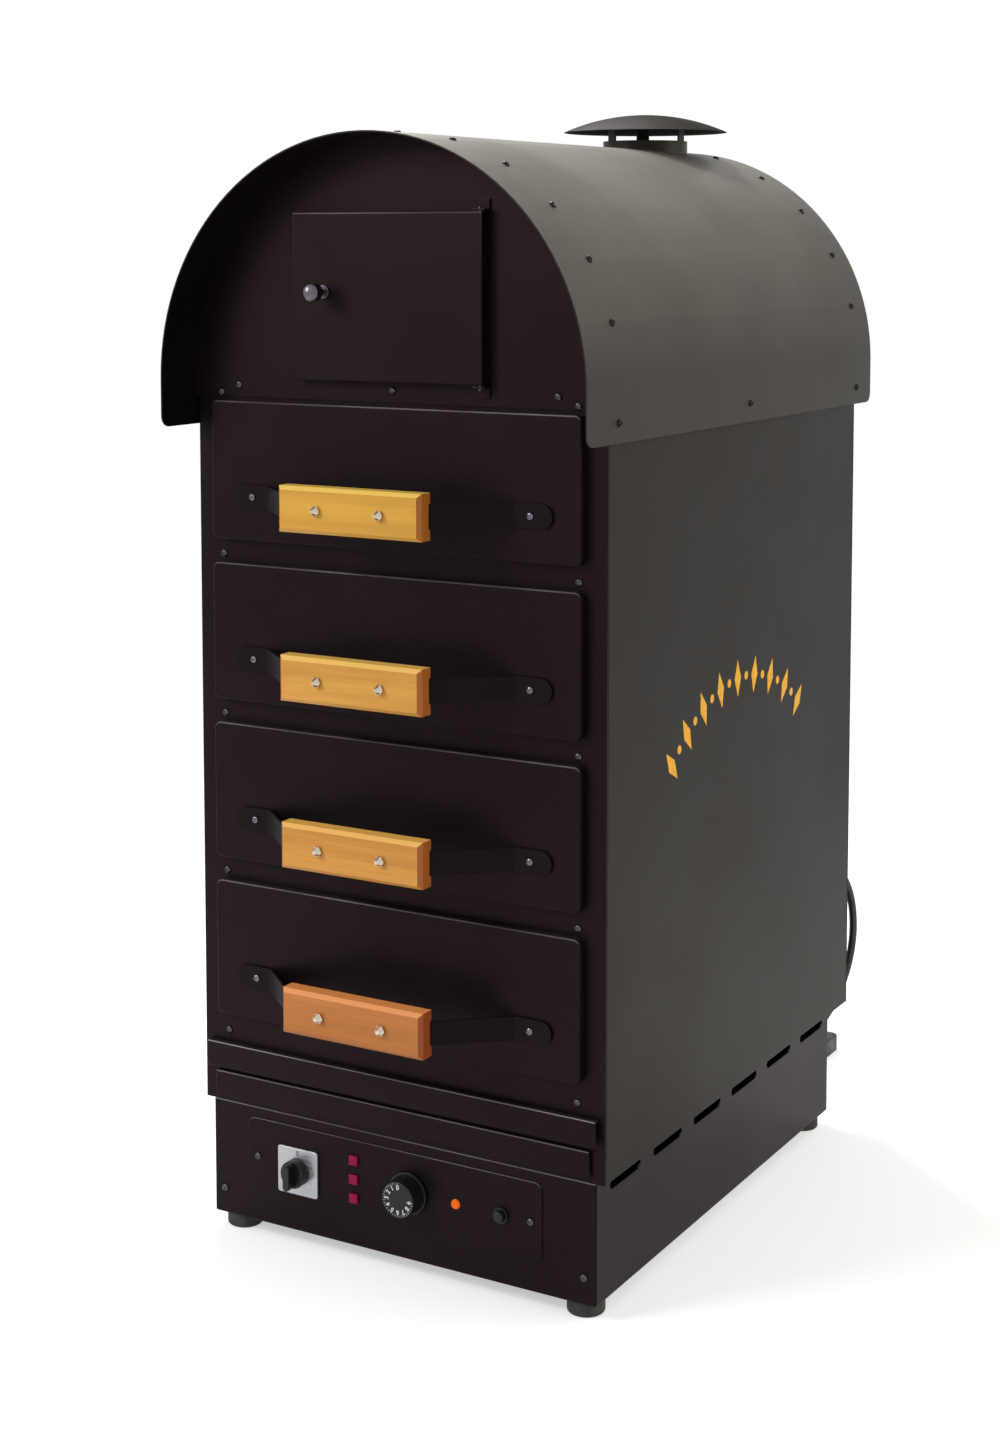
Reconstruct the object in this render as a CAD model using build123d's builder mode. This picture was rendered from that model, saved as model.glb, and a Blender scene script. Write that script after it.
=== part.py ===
"""Baked potato oven: a free-standing black sheet-steel cabinet with four baking drawers, a
barrel-vaulted warming compartment with its own door, and a capped flue on the roof.
Millimetres. +Z is up, the front faces -Y, and the origin is on the floor, at the middle of the
box that the oven takes up without its mains lead."""

import math
import os

from build123d import *

os.makedirs("parts", exist_ok=True)

# ---- Cabinet ----
case_w = 500.0  # over the side panels
case_d = 655.0  # from the front frame's face to the back panel's face
skin_t = 1.5  # outer sheet
frame_t = 2.0  # front frame and plinth sheet
flange_w = 18.0  # folded edges of the side panels
fit = 0.3  # gap between sheets that lie beside each other
running = 0.1  # radial clearance of a shaft that turns or slides

# ---- Heights, from the floor up ----
foot_h = 17.0
base_h = 130.0
rail_h = 34.0  # lower rail, under the sill
sill_h = 34.0
sill_gap = 35.0  # shadow gap between the sill and the lowest drawer front
sill_out = 9.0  # the sill and the rail stand out from the front frame
sill_in = 7.0  # and end short of the side panels
rail_out = 5.0
rail_in = 16.0
strip_lift = 6.0  # their lower edges lie above the ledge under them
front_h = 150.0
drawer_pitch = 175.5
drawer_count = 4
skirt_drop = 27.5  # the roof's lower edge lies this far under the top drawer front's top
skirt_h = 52.0  # straight part of the roof's side
roof_side = 7.0  # the roof stands this far outside the side panels
roof_front = 58.0  # overhang in front of the front frame
roof_back = 35.0

# ---- Plinth ----
base_side = 10.0  # set in from each side panel
base_back = 35.0  # set in from the back panel
base_lip = 28.0
slot_count = 6
slot_l = 70.0
slot_w = 11.0
slot_pitch = 100.0
slot_first = 65.0  # front of the plinth to the middle of the first slot
slot_drop = 12.0
foot_d = 40.0
foot_inset = 24.0
foot_chamfer = 2.0

# ---- Drawers ----
front_side = 24.0  # side of the cabinet to the drawer fronts
front_proud = 11.0  # the drawer fronts stand out from the front frame
front_r = 8.0
lap_x = 18.0  # overlap of a front on the frame at each side
lap_z = 10.0
tray_gap_x = 2.0
tray_gap_z = 4.0
tray_h = 100.0
tray_room = 32.8  # behind the tray, in the liner
tray_t = 1.5
runner_t = 2.0
runner_leg = 20.0
liner_gap = 4.0  # opening edge to the liner's inner wall
liner_t = 1.5
liner_back = 61.0  # from the back panel's face
liner_floor_h = 24.0  # above the body floor
liner_over = 6.0  # above the top drawer opening
wool_t = 28.0
wool_gap = 2.0

# ---- Handles ----
handle_drop = 102.0  # front's top edge to the handle's middle
strap_w = 25.0
strap_t = 3.0
strap_reach = 56.0  # clear space behind the grip
strap_flat = 87.0  # half length of the straight run behind the grip
strap_bend = 151.0  # half length where the foot begins
strap_end = 195.0
strap_r = 7.0
strap_screw = 170.0
grip_w = 172.0
grip_h = 48.0
grip_t = 20.0
grip_chamfer = 4.0
stud_x = 38.0
stud_d = 6.0
nut_af = 10.0
nut_hex = 3.0
nut_len = 8.0
nut_taper = 32.0
screw_d = 4.0
head_d = 8.0
head_h = 2.6
head_taper = 35.0

# ---- Arched front and door ----
panel_gap = 4.0  # above the top drawer front
panel_flange = 20.0
door_w = 230.0
door_h = 174.0
door_rise = 26.0  # top drawer front to the door's lower edge
door_depth = 12.0
door_gap = 1.5
door_lap = 10.0
pivot_in = 4.5  # pivot axis to the door's edge
pivot_out = 9.0  # pivot axis to the arched panel
pivot_d = 4.0
pivot_collar = 5.6
collar_t = 2.0
pin_out = 5.0  # pivot pins, out from the door's folded edge
bracket_w = 14.0
bracket_t = 2.0
bracket_tab = 12.0
bracket_gap = 1.0  # door to each bracket
knob_x = -75.0
knob_rise = 92.0
door_knob_d = 20.0
door_knob_l = 32.0
door_knob_stem = 8.0
door_knob_head = 15.0
door_knob_dome = 6.0
door_knob_base = 3.0
door_knob_base_d = 14.0
door_knob_cove = 2.0

# ---- Roof ----
roof_corner = 12.0
row_in = 10.0  # rows of screws, in from the front frame's and the back panel's faces
row_step = 15.0  # degrees between roof screws
skirt_screw = 20.0  # above the skirt's lower edge

# ---- Screws in the flat sheets ----
rail_side = 32.0  # in from the side of the cabinet
rail_rise = 8.5  # above a drawer front's top edge
sill_rise = 13.0  # above the sill
arch_x = 195.0
arch_rise = 17.0
base_screw_in = 14.0  # in from the side of the plinth
base_screw_drop = 101.0  # under the plinth's top edge
back_rows = 4

# ---- Flue ----
flue_d = 104.0
flue_t = 1.5
flue_from_back = 110.0  # roof's back edge to the flue's middle
flue_rise = 11.0  # above the ridge
flue_drop = 30.0  # below the ridge
cap_d = 202.0
cap_gap = 11.0
cap_dome = 21.5
cap_t = 1.2
leg_w = 16.0
leg_t = 2.0
leg_count = 3
leg_drop = 10.0  # below the ridge

# ---- Control panel on the plinth ----
plate_w = 371.0
plate_h = 86.0
plate_x = -7.5
plate_top = 12.0  # under the plinth's top edge
plate_r = 10.0
plate_screw = 172.0
recess_w = 330.0
recess_h = 62.0
isolator_x = -125.0
isolator_drop = 6.0
isolator_w = 52.0
isolator_t = 3.0
isolator_r = 3.0
isolator_body_w = 44.0
isolator_body_d = 45.0
isolator_knob_d = 30.0
isolator_knob_h = 10.0
grip_bar_w = 8.0
grip_bar_l = 28.0
grip_bar_h = 12.0
lamp_x = -53.0
lamp_pitch = 21.0
lamp_count = 3
lamp_w = 10.0
lamp_proud = 3.0
lamp_deep = 20.0
lamp_lip = 1.0  # flange over the edge of its hole
thermostat_x = 17.0
thermostat_w = 38.0
thermostat_body_d = 32.0
dial_d = 46.0
dial_h = 22.0
dial_skirt = 4.0
dial_rim = 2.0
dial_taper = 6.0
amber_x = 75.0
amber_d = 11.0
amber_taper = 20.0
button_x = 130.0
button_d = 12.0
button_proud = 9.0
button_travel = 3.0
button_edge = 2.5
bush_d = 17.0
bush_proud = 3.0
bush_deep = 16.0
bush_lip = 2.0
shaft_d = 6.0
shaft_in = 12.0  # into the switch behind it
knob_gap = 1.0

# ---- Heating and wiring ----
heater_d = 8.0
heater_x = 115.0  # middle of each hairpin
heater_half = 45.0  # half the distance between its legs
heater_front = 70.0
heater_rise = 26.0
support_first = 110.0  # liner front to the first bar under the heating elements
support_pitch = 240.0
support_w = 12.0
terminal_w = 60.0
terminal_h = 24.0
terminal_d = 18.0

# ---- Mains lead ----
cord_d = 10.0
gland_x = 200.0
gland_z = 303.0
gland_d = 26.0
gland_len = 30.0
gland_nut = 6.0
gland_step = 4.0  # its threaded neck is this much smaller in radius
gland_bevel = 3.0
gland_wall = 1.0  # round the lead at the small end
coil_r = 55.0  # middle of the turns
coil_half_turns = 4  # in each layer
coil_pitch = 10.6
coil_x = 20.0
coil_back = 126.0  # coil's middle behind the back panel
floor_gap = 0.05
plug_w = 50.0
plug_l = 46.0
plug_h = 22.0
plug_r = 8.0
plug_edge = 3.0
plug_neck_w = 16.0
plug_neck_l = 16.0
plug_neck_h = 13.0
pin_len = 18.0
pins = ((12, 0, 8, 4), (34, -11, 4, 6.4), (34, 11, 4, 6.4))  # place from the far edge, and size

# ---- Worked out from the sizes above ----
nut_reach = front_proud + strap_reach + grip_t + nut_len
front_y = (nut_reach - case_d - roof_back) / 2
back_y = front_y + case_d
half_w = case_w / 2
front_w = case_w - 2 * front_side
base_z = foot_h
body_z = base_z + base_h
sill_z = body_z + rail_h
sill_top = sill_z + sill_h
first_front_z = sill_top + sill_gap
fronts_top = first_front_z + (drawer_count - 1) * drawer_pitch + front_h
skirt_z = fronts_top - skirt_drop
arch_z = skirt_z + skirt_h
roof_r = half_w + roof_side
ridge_z = arch_z + roof_r
panel_z = fronts_top + panel_gap
deck_z = arch_z
opening_w = front_w - 2 * lap_x
opening_h = front_h - 2 * lap_z
liner_half = opening_w / 2 + liner_gap
liner_z = body_z + liner_floor_h
liner_top = fronts_top - lap_z + liner_over
base_half = half_w - base_side
base_d = case_d - base_back
face_y = front_y - front_proud
flue_y = back_y + roof_back - flue_from_back
panel_y = front_y - skin_t
plate_z = body_z - plate_top - plate_h / 2
plate_y = front_y - skin_t

# Places of the screws in the flat sheets, as (x, z)
rail_x = half_w - rail_side
base_screw_x = base_half - base_screw_in
line_tops = [first_front_z + n * drawer_pitch + front_h for n in range(drawer_count)]
rail_z = [sill_top + sill_rise] + [z + rail_rise for z in line_tops[:-1]]
frame_spots = [(x, z) for z in rail_z for x in (-rail_x, rail_x)]
arch_spots = [(x, fronts_top + arch_rise) for x in (-arch_x, 0, arch_x)]
arch_spots += [(x, fronts_top + rail_rise) for x in (-rail_x, rail_x)]
plate_spots = [(plate_x + x, plate_z) for x in (-plate_screw, plate_screw)]
base_spots = [(x, body_z - base_screw_drop) for x in (-base_screw_x, base_screw_x)]
back_step = (panel_z - body_z) / back_rows
back_x = half_w - flange_w / 2
back_spots = [(x, body_z + (n + 0.5) * back_step) for n in range(back_rows) for x in (-back_x, back_x)]


def front_view(y):
    """Sketch plane seen from the front, at depth y: X to the right, Z up."""
    return Plane.XZ.offset(-y)


def save(builder, name):
    """Names a finished piece and writes it."""
    builder.part.label = name
    export_step(builder.part, f"parts/{name}.step")


def box_between(low, high, mode=Mode.ADD):
    """Block between two corners."""
    size = [b - a for a, b in zip(low, high)]
    middle = [(a + b) / 2 for a, b in zip(low, high)]
    with Locations(tuple(middle)):
        Box(*size, mode=mode)


# ---- Rubber feet ----
feet_y = (front_y + foot_inset, front_y + base_d - foot_inset)
feet_x = base_half - foot_inset
with BuildPart() as rubber_feet:
    for y in feet_y:
        for x in (-feet_x, feet_x):
            with BuildSketch(Plane.XY):
                with Locations((x, y)):
                    Circle(foot_d / 2)
    extrude(amount=foot_h)
    chamfer(rubber_feet.edges().filter_by(GeomType.CIRCLE).group_by(Axis.Z)[0], length=foot_chamfer)
save(rubber_feet, "rubber_feet")

# ---- Plinth: folded box, closed below and lipped round its open top, with air slots at its sides ----
with BuildPart() as base_plinth:
    box_between((-base_half, front_y, base_z), (base_half, front_y + base_d, body_z))
    box_between(
        (-base_half + frame_t, front_y + frame_t, base_z + frame_t),
        (base_half - frame_t, front_y + base_d - frame_t, body_z - frame_t),
        mode=Mode.SUBTRACT,
    )
    box_between(
        (-base_half + base_lip, front_y + base_lip, base_z + frame_t),
        (base_half - base_lip, front_y + base_d - base_lip, body_z),
        mode=Mode.SUBTRACT,
    )
    slots_y = front_y + slot_first + (slot_count - 1) * slot_pitch / 2
    with BuildSketch(Plane.YZ.offset(-base_half)):
        with Locations((slots_y, body_z - slot_drop)):
            with GridLocations(slot_pitch, 0, slot_count, 1):
                SlotOverall(slot_l, slot_w)
    extrude(amount=2 * base_half, mode=Mode.SUBTRACT)
    with BuildSketch(front_view(front_y)):
        with Locations((plate_x, plate_z)):
            Rectangle(recess_w, recess_h)
        with Locations(*base_spots):
            Circle(screw_d / 2)
    extrude(amount=-frame_t, mode=Mode.SUBTRACT)
save(base_plinth, "base_plinth")

# ---- Body floor: tray on the plinth ----
floor_half = half_w - skin_t - fit
with BuildPart() as body_floor:
    box_between(
        (-floor_half, front_y + frame_t + skin_t + fit, body_z),
        (floor_half, back_y - 2 * skin_t - fit, body_z + skin_t),
    )
save(body_floor, "body_floor")

# ---- Side panels, folded in at the front and the back ----
for name, side in (("left_side_panel", -1), ("right_side_panel", 1)):
    with BuildPart() as side_panel:
        outer = side * half_w
        inner = side * (half_w - skin_t)
        fold = side * (half_w - flange_w)
        y0 = front_y + frame_t
        y1 = back_y - skin_t
        with BuildSketch(Plane.XY.offset(body_z)):
            with BuildLine():
                Polyline(
                    (fold, y0),
                    (outer, y0),
                    (outer, y1),
                    (fold, y1),
                    (fold, y1 - skin_t),
                    (inner, y1 - skin_t),
                    (inner, y0 + skin_t),
                    (fold, y0 + skin_t),
                    close=True,
                )
            make_face()
        extrude(amount=deck_z - body_z)
    save(side_panel, name)

# ---- Back panel, with the hole for the mains lead ----
with BuildPart() as back_panel:
    with BuildSketch(front_view(back_y)):
        with Locations((0, (body_z + panel_z) / 2)):
            Rectangle(case_w, panel_z - body_z)
        with Locations((gland_x, gland_z)):
            Circle(gland_d / 2 - gland_step, mode=Mode.SUBTRACT)
        with Locations(*back_spots):
            Circle(screw_d / 2, mode=Mode.SUBTRACT)
    extrude(amount=skin_t)
save(back_panel, "back_panel")

# ---- Front frame: one sheet with four drawer openings ----
opening_z = [first_front_z + lap_z + n * drawer_pitch + opening_h / 2 for n in range(drawer_count)]
with BuildPart() as front_frame:
    with BuildSketch(front_view(front_y)):
        with Locations((0, (body_z + deck_z) / 2)):
            Rectangle(case_w, deck_z - body_z)
        for z in opening_z:
            with Locations((0, z)):
                Rectangle(opening_w, opening_h, mode=Mode.SUBTRACT)
        with Locations(*frame_spots):
            Circle(screw_d / 2, mode=Mode.SUBTRACT)
    extrude(amount=-frame_t)
save(front_frame, "front_frame")

# ---- Sill and lower rail: folded strips on the frame, under the lowest drawer ----
sill_half = half_w - sill_in
with BuildPart() as sill_strip:
    box_between((-sill_half, front_y - sill_out, sill_z + strip_lift), (sill_half, front_y, sill_top))
    box_between(
        (-sill_half, front_y - sill_out + skin_t, sill_z + strip_lift),
        (sill_half, front_y, sill_top - skin_t),
        mode=Mode.SUBTRACT,
    )
save(sill_strip, "sill_strip")

rail_half = half_w - rail_in
with BuildPart() as lower_rail:
    box_between((-rail_half, front_y - rail_out, body_z + strip_lift), (rail_half, front_y, sill_z))
    box_between(
        (-rail_half, front_y - rail_out + skin_t, body_z + strip_lift),
        (rail_half, front_y, sill_z - skin_t),
        mode=Mode.SUBTRACT,
    )
save(lower_rail, "lower_rail")

# ---- Oven liner: a box open at the front, and the two bars in it that carry the heating elements ----
liner_y0 = front_y + frame_t
liner_y1 = back_y - liner_back
liner_out = liner_half + liner_t
liner_lip = half_w - flange_w - fit
with BuildPart() as inner_liner:
    box_between((-liner_out, liner_y0, liner_z), (liner_out, liner_y1, liner_top))
    box_between((-liner_lip, liner_y0, liner_z), (liner_lip, liner_y0 + liner_t, liner_top))
    box_between(
        (-liner_half, liner_y0, liner_z + liner_t),
        (liner_half, liner_y1 - liner_t, liner_top - liner_t),
        mode=Mode.SUBTRACT,
    )
    heater_z = liner_z + liner_t + heater_rise
    for y in (liner_y0 + support_first, liner_y0 + support_first + support_pitch):
        box_between(
            (-liner_half + fit, y, liner_z + liner_t + fit),
            (liner_half - fit, y + support_w, heater_z - heater_d / 2),
        )
save(inner_liner, "inner_liner")

# ---- Mineral wool slabs round the liner ----
with BuildPart() as insulation:
    wool_y0 = liner_y0 + liner_t + wool_gap
    for side in (-1, 1):
        xs = sorted((side * (liner_out + fit), side * (liner_out + fit + wool_t)))
        box_between((xs[0], wool_y0, liner_z), (xs[1], liner_y1, liner_top))
    box_between(
        (-liner_out, liner_y1 + fit, liner_z), (liner_out, liner_y1 + fit + wool_t, liner_top)
    )
save(insulation, "insulation")

# ---- Drawer runners: an angle at each side of each drawer ----
tray_half = opening_w / 2 - tray_gap_x
tray_z = [z - opening_h / 2 + tray_gap_z for z in opening_z]
with BuildPart() as drawer_runners:
    for z in tray_z:
        for side in (-1, 1):
            web = sorted((side * liner_half, side * (liner_half - runner_t)))
            leg = sorted((side * liner_half, side * (liner_half - runner_leg)))
            top = z - fit
            box_between((leg[0], liner_y0, top - runner_t), (leg[1], liner_y1 - liner_t, top))
            box_between((web[0], liner_y0, top), (web[1], liner_y1 - liner_t, top + runner_leg))
save(drawer_runners, "drawer_runners")

# ---- Heating elements: sheathed hairpins low in the liner ----
with BuildPart() as heating_elements:
    heater_y0 = liner_y0 + heater_front
    for x in (-heater_x, heater_x):
        with BuildLine() as hairpin:
            back = liner_y1 - liner_t
            left = Line((x - heater_half, back, heater_z), (x - heater_half, heater_y0, heater_z))
            ThreePointArc(
                left @ 1, (x, heater_y0 - heater_half, heater_z), (x + heater_half, heater_y0, heater_z)
            )
            Line((x + heater_half, heater_y0, heater_z), (x + heater_half, back, heater_z))
        with BuildSketch(Plane(origin=left @ 0, z_dir=left % 0)):
            Circle(heater_d / 2)
        sweep(path=hairpin.wire())
save(heating_elements, "heating_elements")

# ---- Deck: floor of the warming compartment, folded down at its sides ----
with BuildPart() as compartment_floor:
    deck_y0 = front_y + frame_t
    deck_y1 = back_y - skin_t
    box_between((-half_w, deck_y0, deck_z), (half_w, deck_y1, deck_z + skin_t))
save(compartment_floor, "compartment_floor")


# ---- Arched panels, front and rear, each with a rolled strip inside for the roof's screws ----
arch_r = roof_r - skin_t - fit
door_z = fronts_top + door_rise
doorway_w = door_w - 2 * door_lap
doorway_h = door_h - 2 * door_lap
lip_r = arch_r - skin_t
lip_z = deck_z + skin_t
for name, plane_y, inward in (("arch_front_panel", panel_y, -1), ("arch_rear_panel", back_y, 1)):
    with BuildPart() as arch_panel:
        with BuildSketch(front_view(plane_y)):
            with BuildLine():
                Polyline((-arch_r, arch_z), (-arch_r, panel_z), (arch_r, panel_z), (arch_r, arch_z))
                ThreePointArc((arch_r, arch_z), (0, arch_z + arch_r), (-arch_r, arch_z))
            make_face()
            if plane_y == panel_y:
                with Locations((0, door_z + door_h / 2)):
                    Rectangle(doorway_w, doorway_h, mode=Mode.SUBTRACT)
                with Locations(*arch_spots):
                    Circle(screw_d / 2, mode=Mode.SUBTRACT)
        extrude(amount=inward * skin_t)
        with BuildSketch(front_view(plane_y - inward * (skin_t + fit))):
            with BuildLine():
                ThreePointArc((arch_r, lip_z), (0, arch_z + arch_r), (-arch_r, lip_z))
                Line((-arch_r, lip_z), (-lip_r, lip_z))
                ThreePointArc((-lip_r, lip_z), (0, arch_z + lip_r), (lip_r, lip_z))
                Line((lip_r, lip_z), (arch_r, lip_z))
            make_face()
        extrude(amount=inward * (panel_flange - fit))
    save(arch_panel, name)

# ---- Roof: one rolled sheet with straight skirts, holed for the flue ----
vault_r = roof_r - skin_t
front_row = front_y + row_in
rear_row = back_y - row_in
roof_planes = []
for y in (front_row, rear_row):
    for n in range(1, round(180 / row_step)):
        turn = math.radians(n * row_step)
        out = Vector(math.cos(turn), 0, math.sin(turn))
        roof_planes.append(Plane(origin=Vector(0, y, arch_z) + out * roof_r, z_dir=out))
skirt_planes = []
for y in (front_row, (front_row + rear_row) / 2, rear_row):
    for side in (-1, 1):
        origin = (side * roof_r, y, skirt_z + skirt_screw)
        skirt_planes.append(Plane(origin=origin, z_dir=(side, 0, 0)))
with BuildPart() as roof_sheet:
    with BuildSketch(front_view(front_y - roof_front)):
        with BuildLine():
            Polyline((roof_r, arch_z), (roof_r, skirt_z), (vault_r, skirt_z), (vault_r, arch_z))
            ThreePointArc((vault_r, arch_z), (0, arch_z + vault_r), (-vault_r, arch_z))
            Polyline((-vault_r, arch_z), (-vault_r, skirt_z), (-roof_r, skirt_z), (-roof_r, arch_z))
            ThreePointArc((-roof_r, arch_z), (0, arch_z + roof_r), (roof_r, arch_z))
        make_face()
    extrude(amount=-(roof_front + case_d + roof_back))
    corners = roof_sheet.edges().filter_by(Axis.X).group_by(Axis.Z)[0]
    fillet(corners, radius=roof_corner)
    with BuildSketch(Plane.XY.offset(arch_z)):
        with Locations((0, flue_y)):
            Circle(flue_d / 2 + fit)
    extrude(amount=2 * roof_r, mode=Mode.SUBTRACT)
    for plane in roof_planes + skirt_planes:
        with BuildSketch(plane):
            Circle(screw_d / 2)
        extrude(amount=-2 * skin_t, mode=Mode.SUBTRACT)
save(roof_sheet, "roof_sheet")

# ---- Roof screws: dome heads over the flanges of the arched panels and along the skirts ----
with BuildPart() as roof_screws:
    for plane in roof_planes + skirt_planes:
        with BuildSketch(plane):
            Circle(head_d / 2)
        extrude(amount=head_h, taper=head_taper)
    for planes, shank in ((roof_planes, skin_t), (skirt_planes, roof_side)):
        for plane in planes:
            with BuildSketch(plane):
                Circle(screw_d / 2)
            extrude(amount=-shank)
save(roof_screws, "roof_screws")

# ---- Flue pipe ----
flue_top = ridge_z + flue_rise
with BuildPart() as flue_pipe:
    with BuildSketch(Plane.XY.offset(ridge_z - flue_drop)):
        with Locations((0, flue_y)):
            Circle(flue_d / 2)
            Circle(flue_d / 2 - flue_t, mode=Mode.SUBTRACT)
    extrude(amount=flue_rise + flue_drop)
save(flue_pipe, "flue_pipe")

# ---- Flue cap: shallow dome ----
cap_z = flue_top + cap_gap
cap_half = cap_d / 2
dome_r = (cap_half**2 + cap_dome**2) / (2 * cap_dome)
dome_mid = cap_z + cap_dome - dome_r
with BuildPart() as flue_cap:
    with BuildSketch(front_view(flue_y)):
        with BuildLine():
            inner_half = math.sqrt((dome_r - cap_t) ** 2 - (cap_z - dome_mid) ** 2)
            edge = RadiusArc((0, dome_mid + dome_r), (cap_half, cap_z), dome_r)
            Line(edge @ 1, (inner_half, cap_z))
            under = RadiusArc((inner_half, cap_z), (0, dome_mid + dome_r - cap_t), -(dome_r - cap_t))
            Line(under @ 1, edge @ 0)
        make_face()
    revolve(axis=Axis((0, flue_y, 0), (0, 0, 1)))
save(flue_cap, "flue_cap")

# ---- Three legs from the pipe's bore up to the cap ----
with BuildPart() as flue_legs:
    leg_r = math.sqrt((flue_d / 2 - flue_t) ** 2 - (leg_w / 2) ** 2) - leg_t / 2 - fit
    leg_z0 = ridge_z - leg_drop
    for n in range(leg_count):
        turn = math.radians(n * 360 / leg_count)
        reach = math.hypot(leg_r + leg_t / 2, leg_w / 2)
        leg_z1 = dome_mid + math.sqrt((dome_r - cap_t) ** 2 - reach**2) - fit
        middle = Vector(leg_r * math.cos(turn), flue_y + leg_r * math.sin(turn), 0)
        with BuildSketch(Plane(origin=(middle.X, middle.Y, leg_z0), x_dir=middle - Vector(0, flue_y, 0))):
            Rectangle(leg_t, leg_w)
        extrude(amount=leg_z1 - leg_z0)
save(flue_legs, "flue_legs")

# ---- Arched compartment door: folded pan on two corner pivots ----
door_back = panel_y - door_gap
door_face = door_back - door_depth
pivot_x = door_w / 2 - pivot_in
pivot_y = panel_y - pivot_out
door_top = door_z + door_h
with BuildPart() as arch_door:
    with BuildSketch(front_view(door_face)):
        with Locations((0, door_z + door_h / 2)):
            Rectangle(door_w, door_h)
    extrude(amount=-door_depth)
    with BuildSketch(front_view(door_face + skin_t)):
        with Locations((0, door_z + door_h / 2)):
            Rectangle(door_w - 2 * skin_t, door_h - 2 * skin_t)
    extrude(amount=-door_depth, mode=Mode.SUBTRACT)
    with BuildSketch(Plane.XY.offset(door_z)):
        with Locations((pivot_x, pivot_y)):
            Circle(pivot_d / 2 + running)
    extrude(amount=door_h, mode=Mode.SUBTRACT)
save(arch_door, "arch_door")

# ---- Door pivots: collared pins through the door's folded edges ----
with BuildPart() as door_pivots:
    for z, up in ((door_top - skin_t, 1), (door_z + skin_t, -1)):
        with BuildSketch(Plane(origin=(pivot_x, pivot_y, z), z_dir=(0, 0, up))):
            Circle(pivot_d / 2)
        extrude(amount=skin_t + pin_out)
        with BuildSketch(Plane(origin=(pivot_x, pivot_y, z), z_dir=(0, 0, -up))):
            Circle(pivot_collar / 2)
        extrude(amount=collar_t)
save(door_pivots, "door_pivots")

# ---- Pivot brackets on the arched panel ----
with BuildPart() as pivot_brackets:
    for z, up in ((door_top + bracket_gap, 1), (door_z - bracket_gap, -1)):
        zs = sorted((z, z + up * bracket_t))
        tabs = sorted((z, z + up * bracket_tab))
        low_x = pivot_x - bracket_w / 2
        high_x = pivot_x + bracket_w / 2
        box_between((low_x, pivot_y - pivot_in, zs[0]), (high_x, panel_y, zs[1]))
        box_between((low_x, panel_y - bracket_t, tabs[0]), (high_x, panel_y, tabs[1]))
    with BuildSketch(Plane.XY.offset(door_z - bracket_tab)):
        with Locations((pivot_x, pivot_y)):
            Circle(pivot_d / 2 + running)
    extrude(amount=door_h + 2 * bracket_tab, mode=Mode.SUBTRACT)
save(pivot_brackets, "pivot_brackets")

# ---- Door knob: turned, domed at its end ----
knob_plane = Plane(origin=(knob_x, door_face, door_z + knob_rise), x_dir=(1, 0, 0), z_dir=(0, -1, 0))
with BuildPart() as door_knob:
    with BuildSketch(Plane(origin=knob_plane.origin, x_dir=(1, 0, 0), z_dir=(0, 0, 1))):
        with BuildLine():
            r = door_knob_d / 2
            stem = door_knob_stem / 2
            shoulder = door_knob_l - door_knob_head
            rim = door_knob_l - door_knob_dome
            ball = (r**2 + door_knob_dome**2) / (2 * door_knob_dome)
            sag = ball - math.sqrt(ball**2 - r**2 / 4)
            Polyline(
                (r, -rim),
                (r, -shoulder),
                (stem, -shoulder + door_knob_cove),
                (stem, -door_knob_base),
                (door_knob_base_d / 2, -door_knob_base),
                (door_knob_base_d / 2, 0),
                (0, 0),
                (0, -door_knob_l),
            )
            ThreePointArc((0, -door_knob_l), (r / 2, -door_knob_l + sag), (r, -rim))
        make_face()
    revolve(axis=Axis(knob_plane.origin, (0, 1, 0)))
save(door_knob, "door_knob")

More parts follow.
